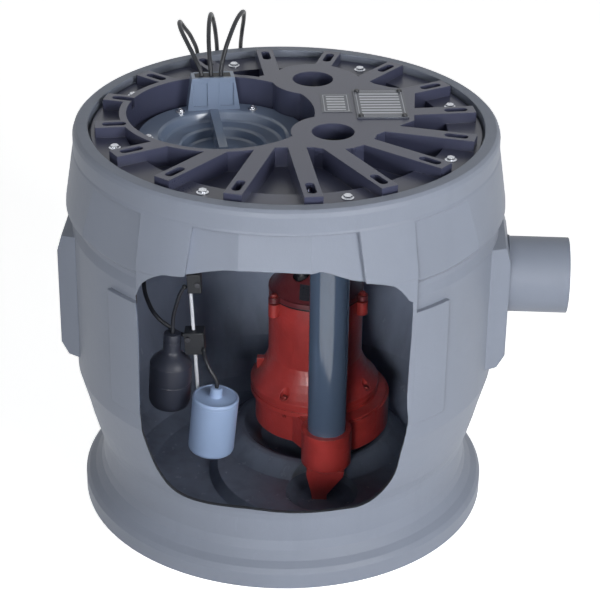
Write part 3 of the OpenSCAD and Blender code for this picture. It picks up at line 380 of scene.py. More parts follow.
def basin_plastic(name, colour):
    """Moulded basin: clouded, with faint runs and scuffs, an inside painted lighter and bluer as
    painted light with painted shade towards the floor and low stains, and a sawn window whose cut
    faces are painted dark as painted shade.
    """
    finish = Finish(name)
    cloud = finish.noise(3.2, 5.0, roughness=0.55)
    runs = finish.noise(26.0, 3.0, stretch=(1, 1, 0.08))
    scuff = finish.noise(70.0, 4.0, stretch=(1, 1, 0.25), roughness=0.6).step(0.62, 0.74)
    # Edges painted paler: rubbed wear and a painted highlight
    rubbed_and_highlit = finish.edges(0.004) * finish.noise(30.0, 3.0).step(0.3, 0.6)
    outside = finish.blend(cloud.step(0.2, 0.8), tinted(colour, 0.93), tinted(colour, 1.06))
    outside = finish.blend(runs.step(0.5, 0.75) * 0.20, outside, tinted(colour, 0.84))
    outside = finish.blend(scuff * 0.14, outside, tinted(colour, 1.25))
    outside = finish.blend(rubbed_and_highlit * 0.45, outside, tinted(colour, 1.3))
    # Inside: below the ledge on the walls, and on the floor within its radius, in metres
    ledge_height, floor_height, floor_radius = 0.58, 0.055, 0.285
    x = finish.axis("X")
    y = finish.axis("Y")
    z = finish.axis("Z")
    radius = (x * x + y * y).maths("SQRT")
    normal = finish.node(
        "ShaderNodeSeparateXYZ", Vector=finish.field("ShaderNodeNewGeometry", output="Normal"))
    normal_x, normal_y, normal_z = (Field(finish, part) for part in normal.outputs)
    outward = x * normal_x + y * normal_y
    wall = (0.0 - outward).step(0.02, 0.08) * (ledge_height - z).step(-0.01, 0.01)
    floor = (floor_height - z).step(0.0, 0.012) * (floor_radius - radius).step(-0.005, 0.01)
    inside = (wall + floor * normal_z.step(0.05, 0.3)).step(0.0, 1.0)
    inside_cloud = finish.noise(9.0, 5.0, stretch=(1, 1, 0.5), roughness=0.6)
    stain = finish.noise(38.0, 4.0, stretch=(1, 1, 0.3))
    # Inside: painted light, the plastic made bluer and lighter, and painted shade, darker towards the
    # floor, with stains low down
    slate = (colour[0] * 0.95, colour[1], colour[2] * 1.08)
    shade_height, stain_height = 0.36, 0.22
    inside_light_and_stains = finish.blend(inside_cloud.step(0.3, 0.7), tinted(slate, 1.45), tinted(slate, 1.9))
    inside_light_and_stains = finish.blend((shade_height - z).step(0.0, 0.3) * 0.85, inside_light_and_stains, tinted(slate, 0.62))
    low_stain = (stain_height - z).step(0.0, 0.12) * stain.step(0.4, 0.7)
    inside_light_and_stains = finish.blend(low_stain * 0.4, inside_light_and_stains, tinted(slate, 0.5))
    # Painted shade on the sawn edge: faces across the wall's thickness, at the front, between these
    # heights, painted nearly black
    window_low, window_high, window_y, drum_radius = 0.105, 0.53, -0.2, 0.3183
    shaded_cut = (window_y - y).step(0.0, 0.01) * (drum_radius - radius).step(-0.0004, 0.0004)
    shaded_cut = shaded_cut * (0.08 - normal_y.maths("ABSOLUTE")).step(0.0, 0.04)
    shaded_cut = shaded_cut * (window_high - z).step(0.0, 0.004) * (z - window_low).step(0.0, 0.004)
    shell = finish.blend(inside, outside, inside_light_and_stains)
    finish.colour(finish.blend(shaded_cut, shell, tinted(colour, 0.14)))
    finish.rough(0.44 + cloud * 0.12 - inside * 0.26 + scuff * 0.1 + shaded_cut * 0.4)
    finish.relief(
        finish.noise(650.0, 3.0) * 0.5 + finish.noise(60.0, 3.0) * 1.5 + scuff * -0.4, 0.0006,
        0.5, 0.0025)
    return finish


def enamel(name, colour, roughness):
    """Sprayed enamel over a sand casting: lumpy, glossy, thin and chipped along its edges."""
    finish = Finish(name, coat=0.4, coat_roughness=0.16, gloss=0.5)
    lumps = finish.noise(130.0, 4.0)
    cloud = finish.noise(22.0, 4.0)
    edge = finish.edges(0.0030)
    chips = edge * finish.noise(210.0, 4.0, roughness=0.65).step(0.56, 0.62)
    dust = finish.facing_up() * finish.noise(60.0, 4.0).step(0.35, 0.8)
    base = finish.blend(cloud.step(0.25, 0.75), tinted(colour, 0.82), tinted(colour, 1.12))
    base = finish.blend(edge * 0.35, base, tinted(colour, 0.66))
    base = finish.blend(chips * 0.85, base, shade("3A2F2C"))
    base = finish.blend(dust * 0.14, base, shade("8A7F77"))
    finish.colour(base)
    finish.rough(roughness + cloud * 0.12 + chips * 0.3 + dust * 0.15 - 0.06)
    finish.relief(
        lumps + finish.noise(620.0, 3.0) * 0.35 - chips * 0.5, 0.0011, 0.7, 0.0018)
    return finish


def steel(name, colour, roughness, brushed=(1, 1, 1)):
    """Bright steel with fine scratches and dulled spots."""
    finish = Finish(name, metallic=1.0)
    scratch = finish.noise(900.0, 3.0, stretch=brushed)
    dull = finish.noise(70.0, 4.0).step(0.45, 0.8)
    base = finish.blend(scratch.step(0.3, 0.7), tinted(colour, 0.88), tinted(colour, 1.08))
    finish.colour(finish.blend(dull * 0.3, base, tinted(colour, 0.7)))
    finish.rough(roughness + scratch * 0.14 + dull * 0.14 - 0.07)
    finish.relief(scratch + finish.noise(240.0, 2.0), 0.00012, 0.5, 0.0004)
    return finish


def rubber(name, colour, roughness=0.55):
    """Black rubber or cord jacket: soft sheen and dust in its pores."""
    finish = Finish(name)
    cloud = finish.noise(60.0, 4.0)
    grain = finish.noise(1500.0, 3.0)
    base = finish.blend(cloud.step(0.3, 0.75), tinted(colour, 0.85), tinted(colour, 1.35))
    finish.colour(finish.blend(grain.step(0.62, 0.8) * 0.25, base, tinted(colour, 2.2)))
    finish.rough(roughness + cloud * 0.14 + grain * 0.05 - 0.08)
    finish.relief(grain + cloud * 0.8, 0.0002, 0.5, 0.0006)
    return finish


def printed_plate(name, colour, rule, size, middle, turn):
    """Bare printed plate: dark field, paler rule near its rim, plain bars, satin, scratched."""
    finish = Finish(name, coat=0.2)
    rule_outer, rule_inner, bars_inset, bars_in_metre = 0.0035, 0.0045, 0.008, 95.0
    bar_start, bar_end = 0.20, 0.76
    where = finish.field("ShaderNodeTexCoord", output="Object")
    local = finish.field(
        "ShaderNodeMapping", {"vector_type": "TEXTURE"}, Vector=where,
        Location=(middle[0], middle[1], 0), Rotation=(0, 0, turn))
    split = finish.node("ShaderNodeSeparateXYZ", Vector=local)
    side = Field(finish, split.outputs["X"]).maths("ABSOLUTE")
    along = Field(finish, split.outputs["Y"]).maths("ABSOLUTE")
    rim = (side - size[0] / 2).maths("MAXIMUM", along - size[1] / 2)
    line = (rim + rule_inner).step(-0.0004, 0.0)
    line = line * (1.0 - (rim + rule_outer).step(-0.0004, 0.0))
    row = (Field(finish, split.outputs["Y"]) * bars_in_metre).maths("FRACT")
    bars = (row - bar_start).step(0.0, 0.06) * (1.0 - (row - bar_end).step(0.0, 0.06))
    bars = bars * (1.0 - (rim + bars_inset).step(-0.001, 0.0)) * 0.9
    scratch = finish.noise(600.0, 3.0, stretch=(1, 0.1, 1)).step(0.6, 0.8)
    cloud = finish.noise(40.0, 3.0)
    base = finish.blend(cloud.step(0.3, 0.7), tinted(colour, 0.9), tinted(colour, 1.15))
    base = finish.blend(line * 0.8 + bars, base, rule)
    finish.colour(finish.blend(scratch * 0.2, base, tinted(rule, 0.8)))
    finish.rough(0.38 + cloud * 0.12 + scratch * 0.1)
    finish.relief(finish.noise(500.0, 2.0) + line * 0.5, 0.0001, 0.5, 0.0005)
    return finish


def layered(name, colour, pitch, roughness, metallic):
    """Stacked sheets or wound wire: fine level bands."""
    finish = Finish(name, metallic=metallic)
    band = (finish.axis("Z") * (1.0 / pitch) + finish.noise(40.0, 2.0) * 0.3).maths("FRACT")
    ridge = (band - 0.5).maths("ABSOLUTE") * 2.0
    cloud = finish.noise(80.0, 3.0)
    base = finish.blend(ridge.step(0.5, 0.95), colour, tinted(colour, 0.55))
    finish.colour(finish.blend(cloud.step(0.4, 0.8) * 0.4, base, tinted(colour, 0.75)))
    finish.rough(roughness + cloud * 0.12)
    finish.relief(1.0 - ridge, pitch * 0.3, 0.7, 0.0004)
    return finish


# Shaping
def only(*objects):
    """Selects these objects and nothing else."""
    bpy.ops.object.select_all(action="DESELECT")
    for item in objects:
        item.select_set(True)
    bpy.context.view_layer.objects.active = objects[0]


def named(name):
    """Gives the object just added its name."""
    piece = bpy.context.active_object
    piece.name = name
    piece.data.name = name
    return piece


def settle(piece):
    """Puts the object's place, turn and size into its mesh."""
    only(piece)
    bpy.ops.object.transform_apply(location=True, rotation=True, scale=True)
    return piece


def seen_as(piece, finish):
    """Covers the whole piece with one material."""
    piece.data.materials.clear()
    piece.data.materials.append(finish.material)


def softened_copy(node, width, angle):
    """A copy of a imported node, its loose faces joined, its edges over an angle rounded."""
    name = node + "_dressed"
    piece = bpy.data.objects.new(name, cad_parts[node].data.copy())
    piece.data.name = name
    bpy.context.collection.objects.link(piece)
    only(piece)
    bpy.ops.object.mode_set(mode="EDIT")
    bpy.ops.mesh.select_all(action="SELECT")
    bpy.ops.mesh.remove_doubles(threshold=0.00002)
    bpy.ops.mesh.dissolve_limited(angle_limit=math.radians(0.6))
    bpy.ops.object.mode_set(mode="OBJECT")
    bevel = piece.modifiers.new("Rounded edges", "BEVEL")
    bevel.width = width
    bevel.segments = 2
    bevel.limit_method = "ANGLE"
    bevel.angle_limit = math.radians(angle)
    bevel.use_clamp_overlap = False
    bevel.harden_normals = False
    bpy.ops.object.modifier_apply(modifier=bevel.name)
    bpy.ops.object.shade_smooth_by_angle(angle=math.radians(SMOOTH_ANGLE))
    evened = piece.modifiers.new("Evened shading", "WEIGHTED_NORMAL")
    evened.keep_sharp = True
    bpy.ops.object.modifier_apply(modifier=evened.name)
    return piece


def cord_curve(name, points, radius):
    """A round cord along a smooth line through points given in metres."""
    data = bpy.data.curves.new(name, "CURVE")
    data.dimensions = "3D"
    data.bevel_depth = radius
    data.bevel_resolution = 3
    data.resolution_u = 6
    data.render_resolution_u = 6
    data.use_fill_caps = True
    line = data.splines.new("BEZIER")
    line.bezier_points.add(len(points) - 1)
    for knot, place in zip(line.bezier_points, points):
        knot.co = place
        knot.handle_left_type = "AUTO"
        knot.handle_right_type = "AUTO"
    piece = bpy.data.objects.new(name, data)
    bpy.context.collection.objects.link(piece)
    return piece


def turned(name, profile, sides=32):
    """A closed round form round the Z axis, drawn ring by ring from (radius, height) pairs."""
    bpy.ops.object.select_all(action="DESELECT")
    radius, height = profile[0]
    bpy.ops.mesh.primitive_circle_add(
        vertices=sides, radius=radius, fill_type="NGON", location=(0, 0, height))
    piece = named(name)
    bpy.ops.object.transform_apply(location=True, rotation=True, scale=True)
    bpy.ops.object.mode_set(mode="EDIT")
    bpy.ops.mesh.select_all(action="SELECT")
    for next_radius, next_height in profile[1:]:
        bpy.ops.mesh.extrude_region_move(
            TRANSFORM_OT_translate={"value": (0, 0, next_height - height)})
        grow = next_radius / radius
        bpy.ops.transform.resize(value=(grow, grow, 1), center_override=(0, 0, next_height))
        radius, height = next_radius, next_height
    bpy.ops.mesh.select_all(action="SELECT")
    bpy.ops.mesh.normals_make_consistent(inside=False)
    bpy.ops.object.mode_set(mode="OBJECT")
    return piece


def block(name, size, middle, bevel, segments=3):
    """A box with rounded edges, standing where middle says."""
    bpy.ops.object.select_all(action="DESELECT")
    bpy.ops.mesh.primitive_cube_add(size=1.0, location=middle)
    piece = named(name)
    piece.scale = size
    bpy.ops.object.transform_apply(location=True, rotation=True, scale=True)
    bpy.ops.object.mode_set(mode="EDIT")
    bpy.ops.mesh.select_all(action="SELECT")
    bpy.ops.mesh.bevel(offset=bevel, segments=segments, affect="EDGES")
    bpy.ops.object.mode_set(mode="OBJECT")
    return piece


def joined(pieces, name):
    """Several pieces made one."""
    only(*pieces)
    bpy.ops.object.join()
    piece = named(name)
    bpy.ops.object.shade_smooth_by_angle(angle=math.radians(SMOOTH_ANGLE))
    return piece


def moved(piece, place, turn=(0.0, 0.0, 0.0)):
    """Places a piece and writes that place into its mesh."""
    piece.location = place
    piece.rotation_euler = turn
    return settle(piece)


def copies(piece, places, name):
    """One piece copied to several places and joined."""
    made = []
    for place, turn in places:
        other = bpy.data.objects.new(name, piece.data.copy())
        bpy.context.collection.objects.link(other)
        made.append(moved(other, place, (0, 0, turn)))
    bpy.data.objects.remove(piece)
    return joined(made, name)


def round_about(middle, radius, count, first):
    """Places on a circle, in metres, each with its turn."""
    ring = []
    for i in range(count):
        turn = math.radians(first + 360.0 * i / count)
        ring.append((middle + radius * Vector((math.cos(turn), math.sin(turn), 0)), turn))
    return ring


def hex_bolt(name, flange, height, shank, under):
    """A bolt with a washer face, a chamfered hex head and its shank, seated at height 0."""
    washer = turned(
        name + "_washer",
        [(flange * 0.5, 0.0), (flange - 0.3 * MM, 0.0), (flange, 0.3 * MM),
         (flange - 0.2 * MM, height * 0.24), (flange * 0.74, height * 0.36)])
    hexagon = turned(
        name + "_hex",
        [(flange * 0.7, height * 0.2), (flange * 0.72, height * 0.86), (flange * 0.6, height),
         (flange * 0.4, height), (flange * 0.36, height - 0.4 * MM)], 6)
    stem = turned(
        name + "_stem", [(shank * 0.8, -under), (shank, 0.8 * MM - under), (shank, 0.5 * MM)])
    return joined([washer, hexagon, stem], name)


class Fittings:
    """Finishes of the package, made once from the colour settings."""

    def __init__(self, colours):
        basin, cover, lid, pump, pipe = (
            tuple(colour) for colour in (
                colours.basin, colours.cover, colours.lid, colours.pump, colours.pipe))
        self.basin = basin_plastic("basin_plastic", basin)
        self.stub = moulded_plastic("inlet_plastic", basin, 0.46, round_edges=0.0015)
        self.cover = moulded_plastic(
            "cover_plastic", cover, 0.3, grain=0.2, edge=1.0, round_edges=0.0016, gloss=0.42)
        self.lid = moulded_plastic(
            "lid_plastic", lid, 0.2, grain=0.2, edge=1.5, round_edges=0.0016, gloss=0.6)
        self.pipe = moulded_plastic(
            "pipe_plastic", pipe, 0.13, grain=0.2, round_edges=0.0008, gloss=1.0)
        self.enamel = enamel("pump_enamel", pump, 0.36)
        # The cap's enamel, darker than the pump's: painted shade
        self.shaded_cap = enamel("cap_enamel_painted_shade", shade("6A2C31"), 0.3)
        self.enamel_dark = enamel("bolt_enamel", tinted(pump, 0.7), 0.42)
        self.bright = steel("bright_steel", shade("C9CBD0"), 0.24)
        self.ground = steel("ground_steel", shade("B4B6BB"), 0.3, brushed=(1, 1, 0.1))
        self.rod = moulded_plastic(
            "rod_coating", shade("C9CCD4"), 0.3, grain=0.3, edge=1.1, round_edges=0.0004)
        self.dark_steel = steel("dark_steel", shade("4A4B50"), 0.34)
        self.brass = steel("brass", shade("C8A060"), 0.34)
        self.bronze = steel("bronze", shade("A98A52"), 0.45)
        self.rubber = rubber("seal_rubber", shade("202226"))
        self.jacket = rubber("cord_jacket", shade("25272D"), 0.36)
        self.black = moulded_plastic(
            "black_plastic", shade("202227"), 0.4, edge=1.8, round_edges=0.0006)
        self.dark_float = moulded_plastic("dark_float", shade("2D303B"), 0.38, grain=0.7, edge=1.8)
        self.pale_float = moulded_plastic("pale_float", shade("93A8CA"), 0.33, grain=0.5)
        self.copper = layered(
            "winding", shade("8A4B26"), pitch=0.0011, roughness=0.35, metallic=0.8)
        self.sheets = layered(
            "laminations", shade("6A6D74"), pitch=0.0016, roughness=0.42, metallic=0.9)
        self.fibre = moulded_plastic(
            "fibre_board", shade("7A5B2E"), 0.6, grain=1.2, edge=1.3, round_edges=0.0004)
        plate_turn = math.radians(5)
        self.plate = printed_plate(
            "nameplate_print", shade("565A64"), rule=shade("D2D5DE"), size=(0.076, 0.108),
            middle=(0.136, 0.057), turn=plate_turn)
        self.info = printed_plate(
            "info_print", shade("565A64"), rule=shade("D6D9E0"), size=(0.044, 0.072),
            middle=(0.070, 0.057), turn=plate_turn)
        self.pump_print = moulded_plastic(
            "pump_label_print", shade("33353C"), 0.3, grain=0.2, edge=1.5, round_edges=0.0002)


# The one set of finishes, once it is made
FITTINGS = []


def finishes():
    """The shared finishes."""
    if not FITTINGS:
        FITTINGS.append(Fittings(bpy.context.scene.pump_package.colours))
    return FITTINGS[0]


def dress(node, finish):
    """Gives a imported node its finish."""
    seen_as(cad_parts[node], finish)


def dress_softened(node, finish, width, angle):
    """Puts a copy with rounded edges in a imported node's place."""
    piece = softened_copy(node, width, angle)
    seen_as(piece, finish)
    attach(piece, "root")
    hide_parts(node)


class PUMP_OT_stage(bpy.types.Operator):
    """Camera, floor and soft studio light"""

    bl_idname = "sump.stage"
    bl_label = "Set the stage"

    def execute(self, context):
        stage = context.scene.pump_package.stage
        context.scene.view_settings.view_transform = "Standard"
        pan, tilt, roll = stage.camera_pan, stage.camera_tilt, stage.camera_roll
        ahead = Vector((
            math.sin(pan) * math.cos(tilt), math.cos(pan) * math.cos(tilt), -math.sin(tilt)))
        level = ahead.cross(Vector((0, 0, 1))).normalized()
        upright = level.cross(ahead)
        right = level * math.cos(roll) + upright * math.sin(roll)
        up = upright * math.cos(roll) - level * math.sin(roll)
        bpy.ops.object.camera_add(location=(0, 0, 0))
        camera = context.active_object
        camera.name = "photo_camera"
        camera.data.lens = stage.lens
        camera.data.sensor_width = 36.0
        turn = Matrix((right, up, -ahead)).transposed()
        camera.matrix_world = Matrix.Translation(stage.camera_place) @ turn.to_4x4()
        context.scene.camera = camera

        bpy.ops.object.select_all(action="DESELECT")
        bpy.ops.mesh.primitive_plane_add(size=24.0, location=(0, 0, 0))
        floor = named("studio_floor")
        paint = Finish("studio_floor", 0.8)
        paint.colour(tuple(stage.floor_colour))
        in_view = paint.field("ShaderNodeLightPath", output="Is Camera Ray").maths(
            "MAXIMUM", paint.field("ShaderNodeLightPath", output="Is Glossy Ray"))
        glow = paint.blend(in_view, (0, 0, 0), (0.76, 0.76, 0.76))
        paint.join(glow, paint.shader.inputs["Emission Color"])
        paint.shader.inputs["Emission Strength"].default_value = 1.0
        seen_as(floor, paint)

        world = bpy.data.worlds.new("studio_sky")
        world.use_nodes = True
        context.scene.world = world
        tree = world.node_tree
        sky = tree.nodes["Background"]
        sky.inputs["Color"].default_value = (0.97, 0.985, 1.0, 1.0)
        path = tree.nodes.new("ShaderNodeLightPath")
        seen = tree.nodes.new("ShaderNodeMath")
        seen.operation = "MAXIMUM"
        tree.links.new(path.outputs["Is Camera Ray"], seen.inputs[0])
        tree.links.new(path.outputs["Is Glossy Ray"], seen.inputs[1])
        level_mix = tree.nodes.new("ShaderNodeMix")
        level_mix.inputs["A"].default_value = stage.sky_level
        level_mix.inputs["B"].default_value = 1.0
        tree.links.new(seen.outputs[0], level_mix.inputs["Factor"])
        tree.links.new(level_mix.outputs["Result"], sky.inputs["Strength"])

        for name, power, size, place, spread in (
                ("key_light", stage.key_power, 1.1, (1.9, -2.15, 1.47), 180.0),
                ("window_light", stage.window_power, 0.6, (-0.3, -2.7, 0.95), 40.0),
                ("fill_light", stage.fill_power, 2.2, (-2.6, -1.9, 1.9), 180.0)):
            bpy.ops.object.light_add(type="AREA", location=place)
            lamp = context.active_object
            lamp.name = name
            lamp.data.energy = power
            lamp.data.size = size
            lamp.data.spread = math.radians(spread)
            aim = Vector((0, 0, 0.33)) - Vector(place)
            lamp.rotation_euler = aim.to_track_quat("-Z", "Y").to_euler()
        return {"FINISHED"}


def coil_points(middle_x, middle_y, cord_radius, coil_radius, turns):
    """A flat coil of two layers: inwards on the floor, a short climb, outwards on top."""
    pitch = 2.0 * cord_radius
    outer = coil_radius + turns * cord_radius
    points_in_turn = 16
    climb = 0.3
    layer_gap = 1.01
    points = []
    for i in range(1, int(2 * turns * points_in_turn) + 1):
        done = i / points_in_turn
        angle = math.pi - 2.0 * math.pi * done
        reach = outer - pitch * done
        if done > turns:
            reach = outer - pitch * turns + pitch * (done - turns)
        rise = min(1.0, max(0.0, (done - turns) / climb + 0.5))
        rise = rise * rise * (3.0 - 2.0 * rise)
        points.append(Vector((
            middle_x + reach * math.cos(angle), middle_y + reach * math.sin(angle),
            cord_radius * LYING + pitch * layer_gap * rise)))
    return points


def plug_pieces(name, x, size, finish, metal):
    """Boot with its ribs, moulded body with grips, two blades and an earth pin."""
    width, length, height = size
    entry_height = 7.05
    blade_x = 6.3
    rib_count = 9
    ribs = []
    for i in range(rib_count):
        y = 3.0 * i
        full = 4.4 + 2.6 * i / rib_count
        ribs.append((full * MM, y * MM))
        ribs.append((full * MM, (y + 1.7) * MM))
        ribs.append(((full - 0.9) * MM, (y + 2.0) * MM))
        ribs.append(((full - 0.9) * MM, (y + 2.7) * MM))
    boot = moved(
        turned(name + "_boot", ribs, 20), mm(x, BOOT_Y, entry_height), (-math.pi / 2, 0, 0))
    body = block(
        name + "_body", mm(width, length, height), mm(x, PLUG_Y + length / 2, height / 2), 3.2 * MM)
    grips = []
    for side in (-1, 1):
        for i in range(5):
            grips.append(block(
                name + "_grip", mm(1.6, 2.2, height * 0.62),
                mm(x + side * (width / 2 - 0.4), PLUG_Y + 8 + 4.4 * i, height / 2), 0.5 * MM, 2))
    jacket = joined([boot, body] + grips, name)
    seen_as(jacket, finish)
    tip = PLUG_Y + length
    blades = [
        block(name + "_blade", mm(1.6, 17.0, 6.2),
              mm(x + side * blade_x, tip + 7.4, height / 2 + 1), 0.35 * MM, 2)
        for side in (-1, 1)
    ]
    earth = moved(
        turned(name + "_earth", [(2.2 * MM, -1.0 * MM), (2.3 * MM, 15.0 * MM), (1.9 * MM, 16.6 * MM),
                                 (0.9 * MM, 17.2 * MM)], 20),
        mm(x, tip, height / 2 - 6), (-math.pi / 2, 0, 0))
    pins = joined(blades + [earth], name + "_pins")
    seen_as(pins, metal)
    return jacket, pins


class PUMP_OT_cords(bpy.types.Operator):
    """Three cords from the seal, each to its coil and plug behind the basin"""

    bl_idname = "sump.cords"
    bl_label = "Run the cords"

    def execute(self, context):
        cords = context.scene.pump_package.cords
        look = finishes()
        runs = (
            ("pump", PUMP_ROUTE, 20.0, (30.0, 44.0, 24.0)),
            ("switch", SWITCH_ROUTE, -90.0, (32.0, 54.0, 28.0)),
            ("alarm", ALARM_ROUTE, -200.0, (24.0, 34.0, 20.0)),
        )
        for name, route, coil_x, plug_size in runs:
            plug_x = coil_x - 47.0
            line = [mm(*point) for point in route]
            line[-1].z = cords.radius * LYING
            line += coil_points(
                coil_x * MM, COIL_Y * MM, cords.radius, cords.coil_radius, cords.layer_turns)
            line += [
                mm(coil_x - 49.8, 420, 10.1), mm(coil_x - 48.8, 432, 8.9),
                mm(plug_x - 0.2, 441, 7.5), mm(plug_x, 449, 7.05),
            ]
            cord = cord_curve(name + "_cord_run", line, cords.radius)
            seen_as(cord, look.jacket)
            plug, pins = plug_pieces(name + "_plug_moulded", plug_x, plug_size, look.black, look.brass)
            tie = self.tie(name, coil_x, cords, look)
            for piece in (cord, plug, pins, tie):
                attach(piece, "root")
            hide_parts(name + "_cord", name + "_cord_coil")
            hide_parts(name + "_plug")
        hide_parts("cord_ties")
        return {"FINISHED"}

    def tie(self, name, coil_x, cords, look):
        """A flat strap round one side of a coil, with its small lock."""
        wide = 2 * cords.radius * (cords.layer_turns + 1) + 1.6 * MM
        high = 4 * cords.radius + 1.6 * MM
        x, y = coil_x * MM, COIL_Y * MM - cords.coil_radius
        strap = block(name + "_tie", (4.6 * MM, wide, high), (x, y, high / 2), 1.6 * MM)
        lock = block(
            name + "_lock", mm(6.4, 5.0, 4.6), (x, y - wide / 4, high + 1.2 * MM), 0.8 * MM)
        only(strap)
        bpy.ops.object.mode_set(mode="EDIT")
        bpy.ops.mesh.select_all(action="DESELECT")
        bpy.ops.object.mode_set(mode="OBJECT")
        for face in strap.data.polygons:
            face.select = abs(face.normal.x) > 0.9
        bpy.ops.object.mode_set(mode="EDIT")
        bpy.ops.mesh.select_mode(type="FACE")
        bpy.ops.mesh.delete(type="FACE")
        bpy.ops.object.mode_set(mode="OBJECT")
        wall = strap.modifiers.new("Strap", "SOLIDIFY")
        wall.thickness = 1.0 * MM
        wall.offset = -1.0
        only(strap)
        bpy.ops.object.modifier_apply(modifier=wall.name)
        piece = joined([strap, lock], name + "_cord_tie")
        seen_as(piece, look.black)
        return piece


class PUMP_OT_inner_cords(bpy.types.Operator):
    """Cords inside the basin and the floats' tethers"""

    bl_idname = "sump.inner_cords"
    bl_label = "Run the inner cords"

    def execute(self, context):
        cords = context.scene.pump_package.cords
        look = finishes()
        for name, route in (
                ("pump", PUMP_INSIDE), ("switch", SWITCH_INSIDE), ("alarm", ALARM_INSIDE)):
            line = [mm(*point) for point in route]
            cord = cord_curve(name + "_cord_drop", line, cords.radius)
            seen_as(cord, look.jacket)
            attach(cord, "root")
            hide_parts(name + "_cord_inside")
        for name, route in (("alarm", ALARM_TETHER), ("switch", SWITCH_TETHER)):
            line = [mm(*point) for point in route]
            tether = cord_curve(name + "_tether_run", line, cords.tether_radius)
            seen_as(tether, look.jacket)
            bead = moved(
                turned(name + "_bead", [(1.2 * MM, -3.8 * MM), (2.6 * MM, -3.0 * MM),
                                        (3.7 * MM, -1.4 * MM), (4.0 * MM, 0.0), (3.7 * MM, 1.4 * MM),
                                        (2.6 * MM, 3.0 * MM), (1.2 * MM, 3.8 * MM)], 24), line[0])
            bead = joined([bead], name + "_tether_bead")
            seen_as(bead, look.rubber)
            for piece in (tether, bead):
                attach(piece, name)
            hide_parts(name + "_tether")
        return {"FINISHED"}


class PUMP_OT_basin(bpy.types.Operator):
    """Basin and inlet, with the inserts and the gasket under the cover"""

    bl_idname = "sump.basin"
    bl_label = "Dress the basin"

    def execute(self, context):
        look = finishes()
        for node, finish in (
                ("basin", look.basin), ("inlet_stub", look.stub), ("cover_inserts", look.brass),
                ("cover_gasket", look.rubber)):
            dress(node, finish)
        return {"FINISHED"}


class PUMP_OT_cover(bpy.types.Operator):
    """Ribbed cover, access lid, plates and seals"""

    bl_idname = "sump.cover"
    bl_label = "Dress the cover"

    def execute(self, context):
        look = finishes()
        for node, finish in (
                ("cover", look.cover), ("access_lid", look.lid), ("cord_seal", look.rubber),
                ("lid_gasket", look.rubber), ("discharge_seal", look.rubber),
                ("vent_seal", look.rubber), ("nameplate", look.plate), ("info_label", look.info),
                ("nameplate_screws", look.black)):
            dress(node, finish)
        return {"FINISHED"}


class PUMP_OT_bolts(bpy.types.Operator):
    """Hex bolts of the cover, lid, motor cap and volute, each turned its own way"""

    bl_idname = "sump.bolts"
    bl_label = "Fit the bolts"

    def execute(self, context):
        look = finishes()
        head_turn = 7.3
        rows = (
            ("cover_bolts", 9.0, 5.0, 4.0, 21.0, mm(0, 0, 600), 258.9, 8,
             COVER_TURN + 11.25, look.bright, "stainless"),
            ("lid_bolts", 7.0, 5.0, 3.0, 19.0, LID_AT + mm(0, 0, 576), 110.0, 6, COVER_TURN,
             look.bright, "stainless"),
            ("cap_bolts", 7.0, 5.0, 3.0, 27.5, PUMP_AT + mm(0, 0, 296.5), 79.8, 3, 97.0,
             look.enamel_dark, "pump_red"),
            ("volute_bolts", 6.5, 6.0, 3.0, 31.0, PUMP_AT + mm(0, 0, 133), 94.0, 4, -118.0,
             look.enamel_dark, "pump_red"),
        )
        for node, flange, height, shank, under, middle, circle, count, first, finish, slot in rows:
            bolt = hex_bolt(node + "_one", flange * MM, height * MM, shank * MM, under * MM)
            places = [
                (place, turn * head_turn)
                for place, turn in round_about(middle, circle * MM, count, first)]
            piece = copies(bolt, places, node + "_fitted")
            seen_as(piece, finish)
            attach(piece, "root")
            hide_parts(node)
        return {"FINISHED"}


class PUMP_OT_pump(bpy.types.Operator):
    """Pump castings, discharge pipe and what is inside them"""

    bl_idname = "sump.pump"
    bl_label = "Dress the pump"

    def execute(self, context):
        look = finishes()
        dress_softened("discharge_pipe", look.pipe, 0.8 * MM, 60.0)
        for node, finish in (
                ("volute", look.enamel), ("seal_housing", look.enamel),
                ("motor_housing", look.enamel), ("motor_cap", look.shaded_cap),
                ("cable_gland", look.black), ("cap_gasket", look.rubber),
                ("pump_label", look.pump_print), ("shaft_seal", look.rubber),
                ("impeller", look.bronze), ("shaft", look.ground),
                ("rotor_core", look.sheets), ("stator", look.copper),
                ("upper_bearing", look.ground), ("lower_bearing", look.ground),
                ("terminal_board", look.fibre), ("run_capacitor", look.black)):
            dress(node, finish)
        return {"FINISHED"}


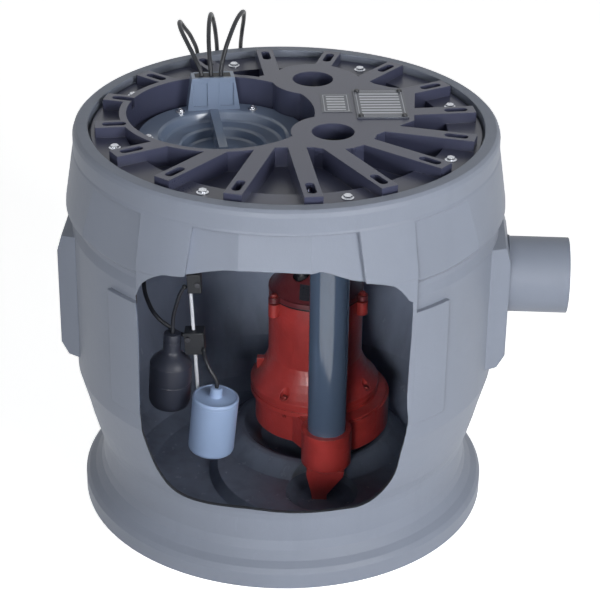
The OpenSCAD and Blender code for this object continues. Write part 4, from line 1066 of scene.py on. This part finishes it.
class PUMP_OT_floats(bpy.types.Operator):
    """Float rod, clamps and both floats"""

    bl_idname = "sump.floats"
    bl_label = "Dress the floats"

    def execute(self, context):
        look = finishes()
        for name, body, profile, place, lean, finish, slot in (
                ("alarm_float", "alarm", ALARM_FLOAT, mm(-171, -61, 215), 3.2,
                 look.dark_float, "float_black"),
                ("switch_float", "switch", SWITCH_FLOAT, mm(-103.2, -98, 150.5), 5.25,
                 look.pale_float, "float_blue")):
            shell = turned(name + "_shell", [(r * MM, z * MM) for r, z in profile], 72)
            shell = joined([moved(shell, place, (0, math.radians(lean), 0))], name + "_moulded")
            seen_as(shell, finish)
            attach(shell, body)
            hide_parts(name)
        for node, width in (("upper_clamp", 1.0), ("lower_clamp", 1.0), ("rod_bracket", 0.8)):
            dress_softened(node, look.black, width * MM, 50.0)
        for node, finish in (
                ("float_rod", look.rod), ("clamp_screws", look.dark_steel),
                ("alarm_capsule", look.ground), ("switch_capsule", look.ground)):
            dress(node, finish)
        return {"FINISHED"}


OPERATORS = (
    PUMP_OT_stage, PUMP_OT_cords, PUMP_OT_inner_cords, PUMP_OT_basin, PUMP_OT_cover,
    PUMP_OT_bolts, PUMP_OT_pump, PUMP_OT_floats,
)


class PUMP_PT_panel(bpy.types.Panel):
    """Steps of the package and its settings"""

    bl_idname = "PUMP_PT_panel"
    bl_label = "Sump pump package"
    bl_space_type = "VIEW_3D"
    bl_region_type = "UI"
    bl_category = "Sump pump"

    def draw(self, context):
        package = context.scene.pump_package
        for group in (package.stage, package.cords, package.colours):
            box = self.layout.box()
            for name in group.__annotations__:
                box.prop(group, name)
        for step in OPERATORS:
            self.layout.operator(step.bl_idname)


CLASSES = (StageSettings, CordSettings, ColourSettings, PackageSettings) + OPERATORS + (PUMP_PT_panel,)


def register():
    for part in CLASSES:
        bpy.utils.register_class(part)
    bpy.types.Scene.pump_package = bpy.props.PointerProperty(type=PackageSettings)


def unregister():
    del bpy.types.Scene.pump_package
    for part in reversed(CLASSES):
        bpy.utils.unregister_class(part)


def main():
    """Builds the whole package."""
    register()
    bpy.ops.sump.stage()
    bpy.ops.sump.cords()
    bpy.ops.sump.inner_cords()
    bpy.ops.sump.basin()
    bpy.ops.sump.cover()
    bpy.ops.sump.bolts()
    bpy.ops.sump.pump()
    bpy.ops.sump.floats()


if __name__ == "__main__":
    main()
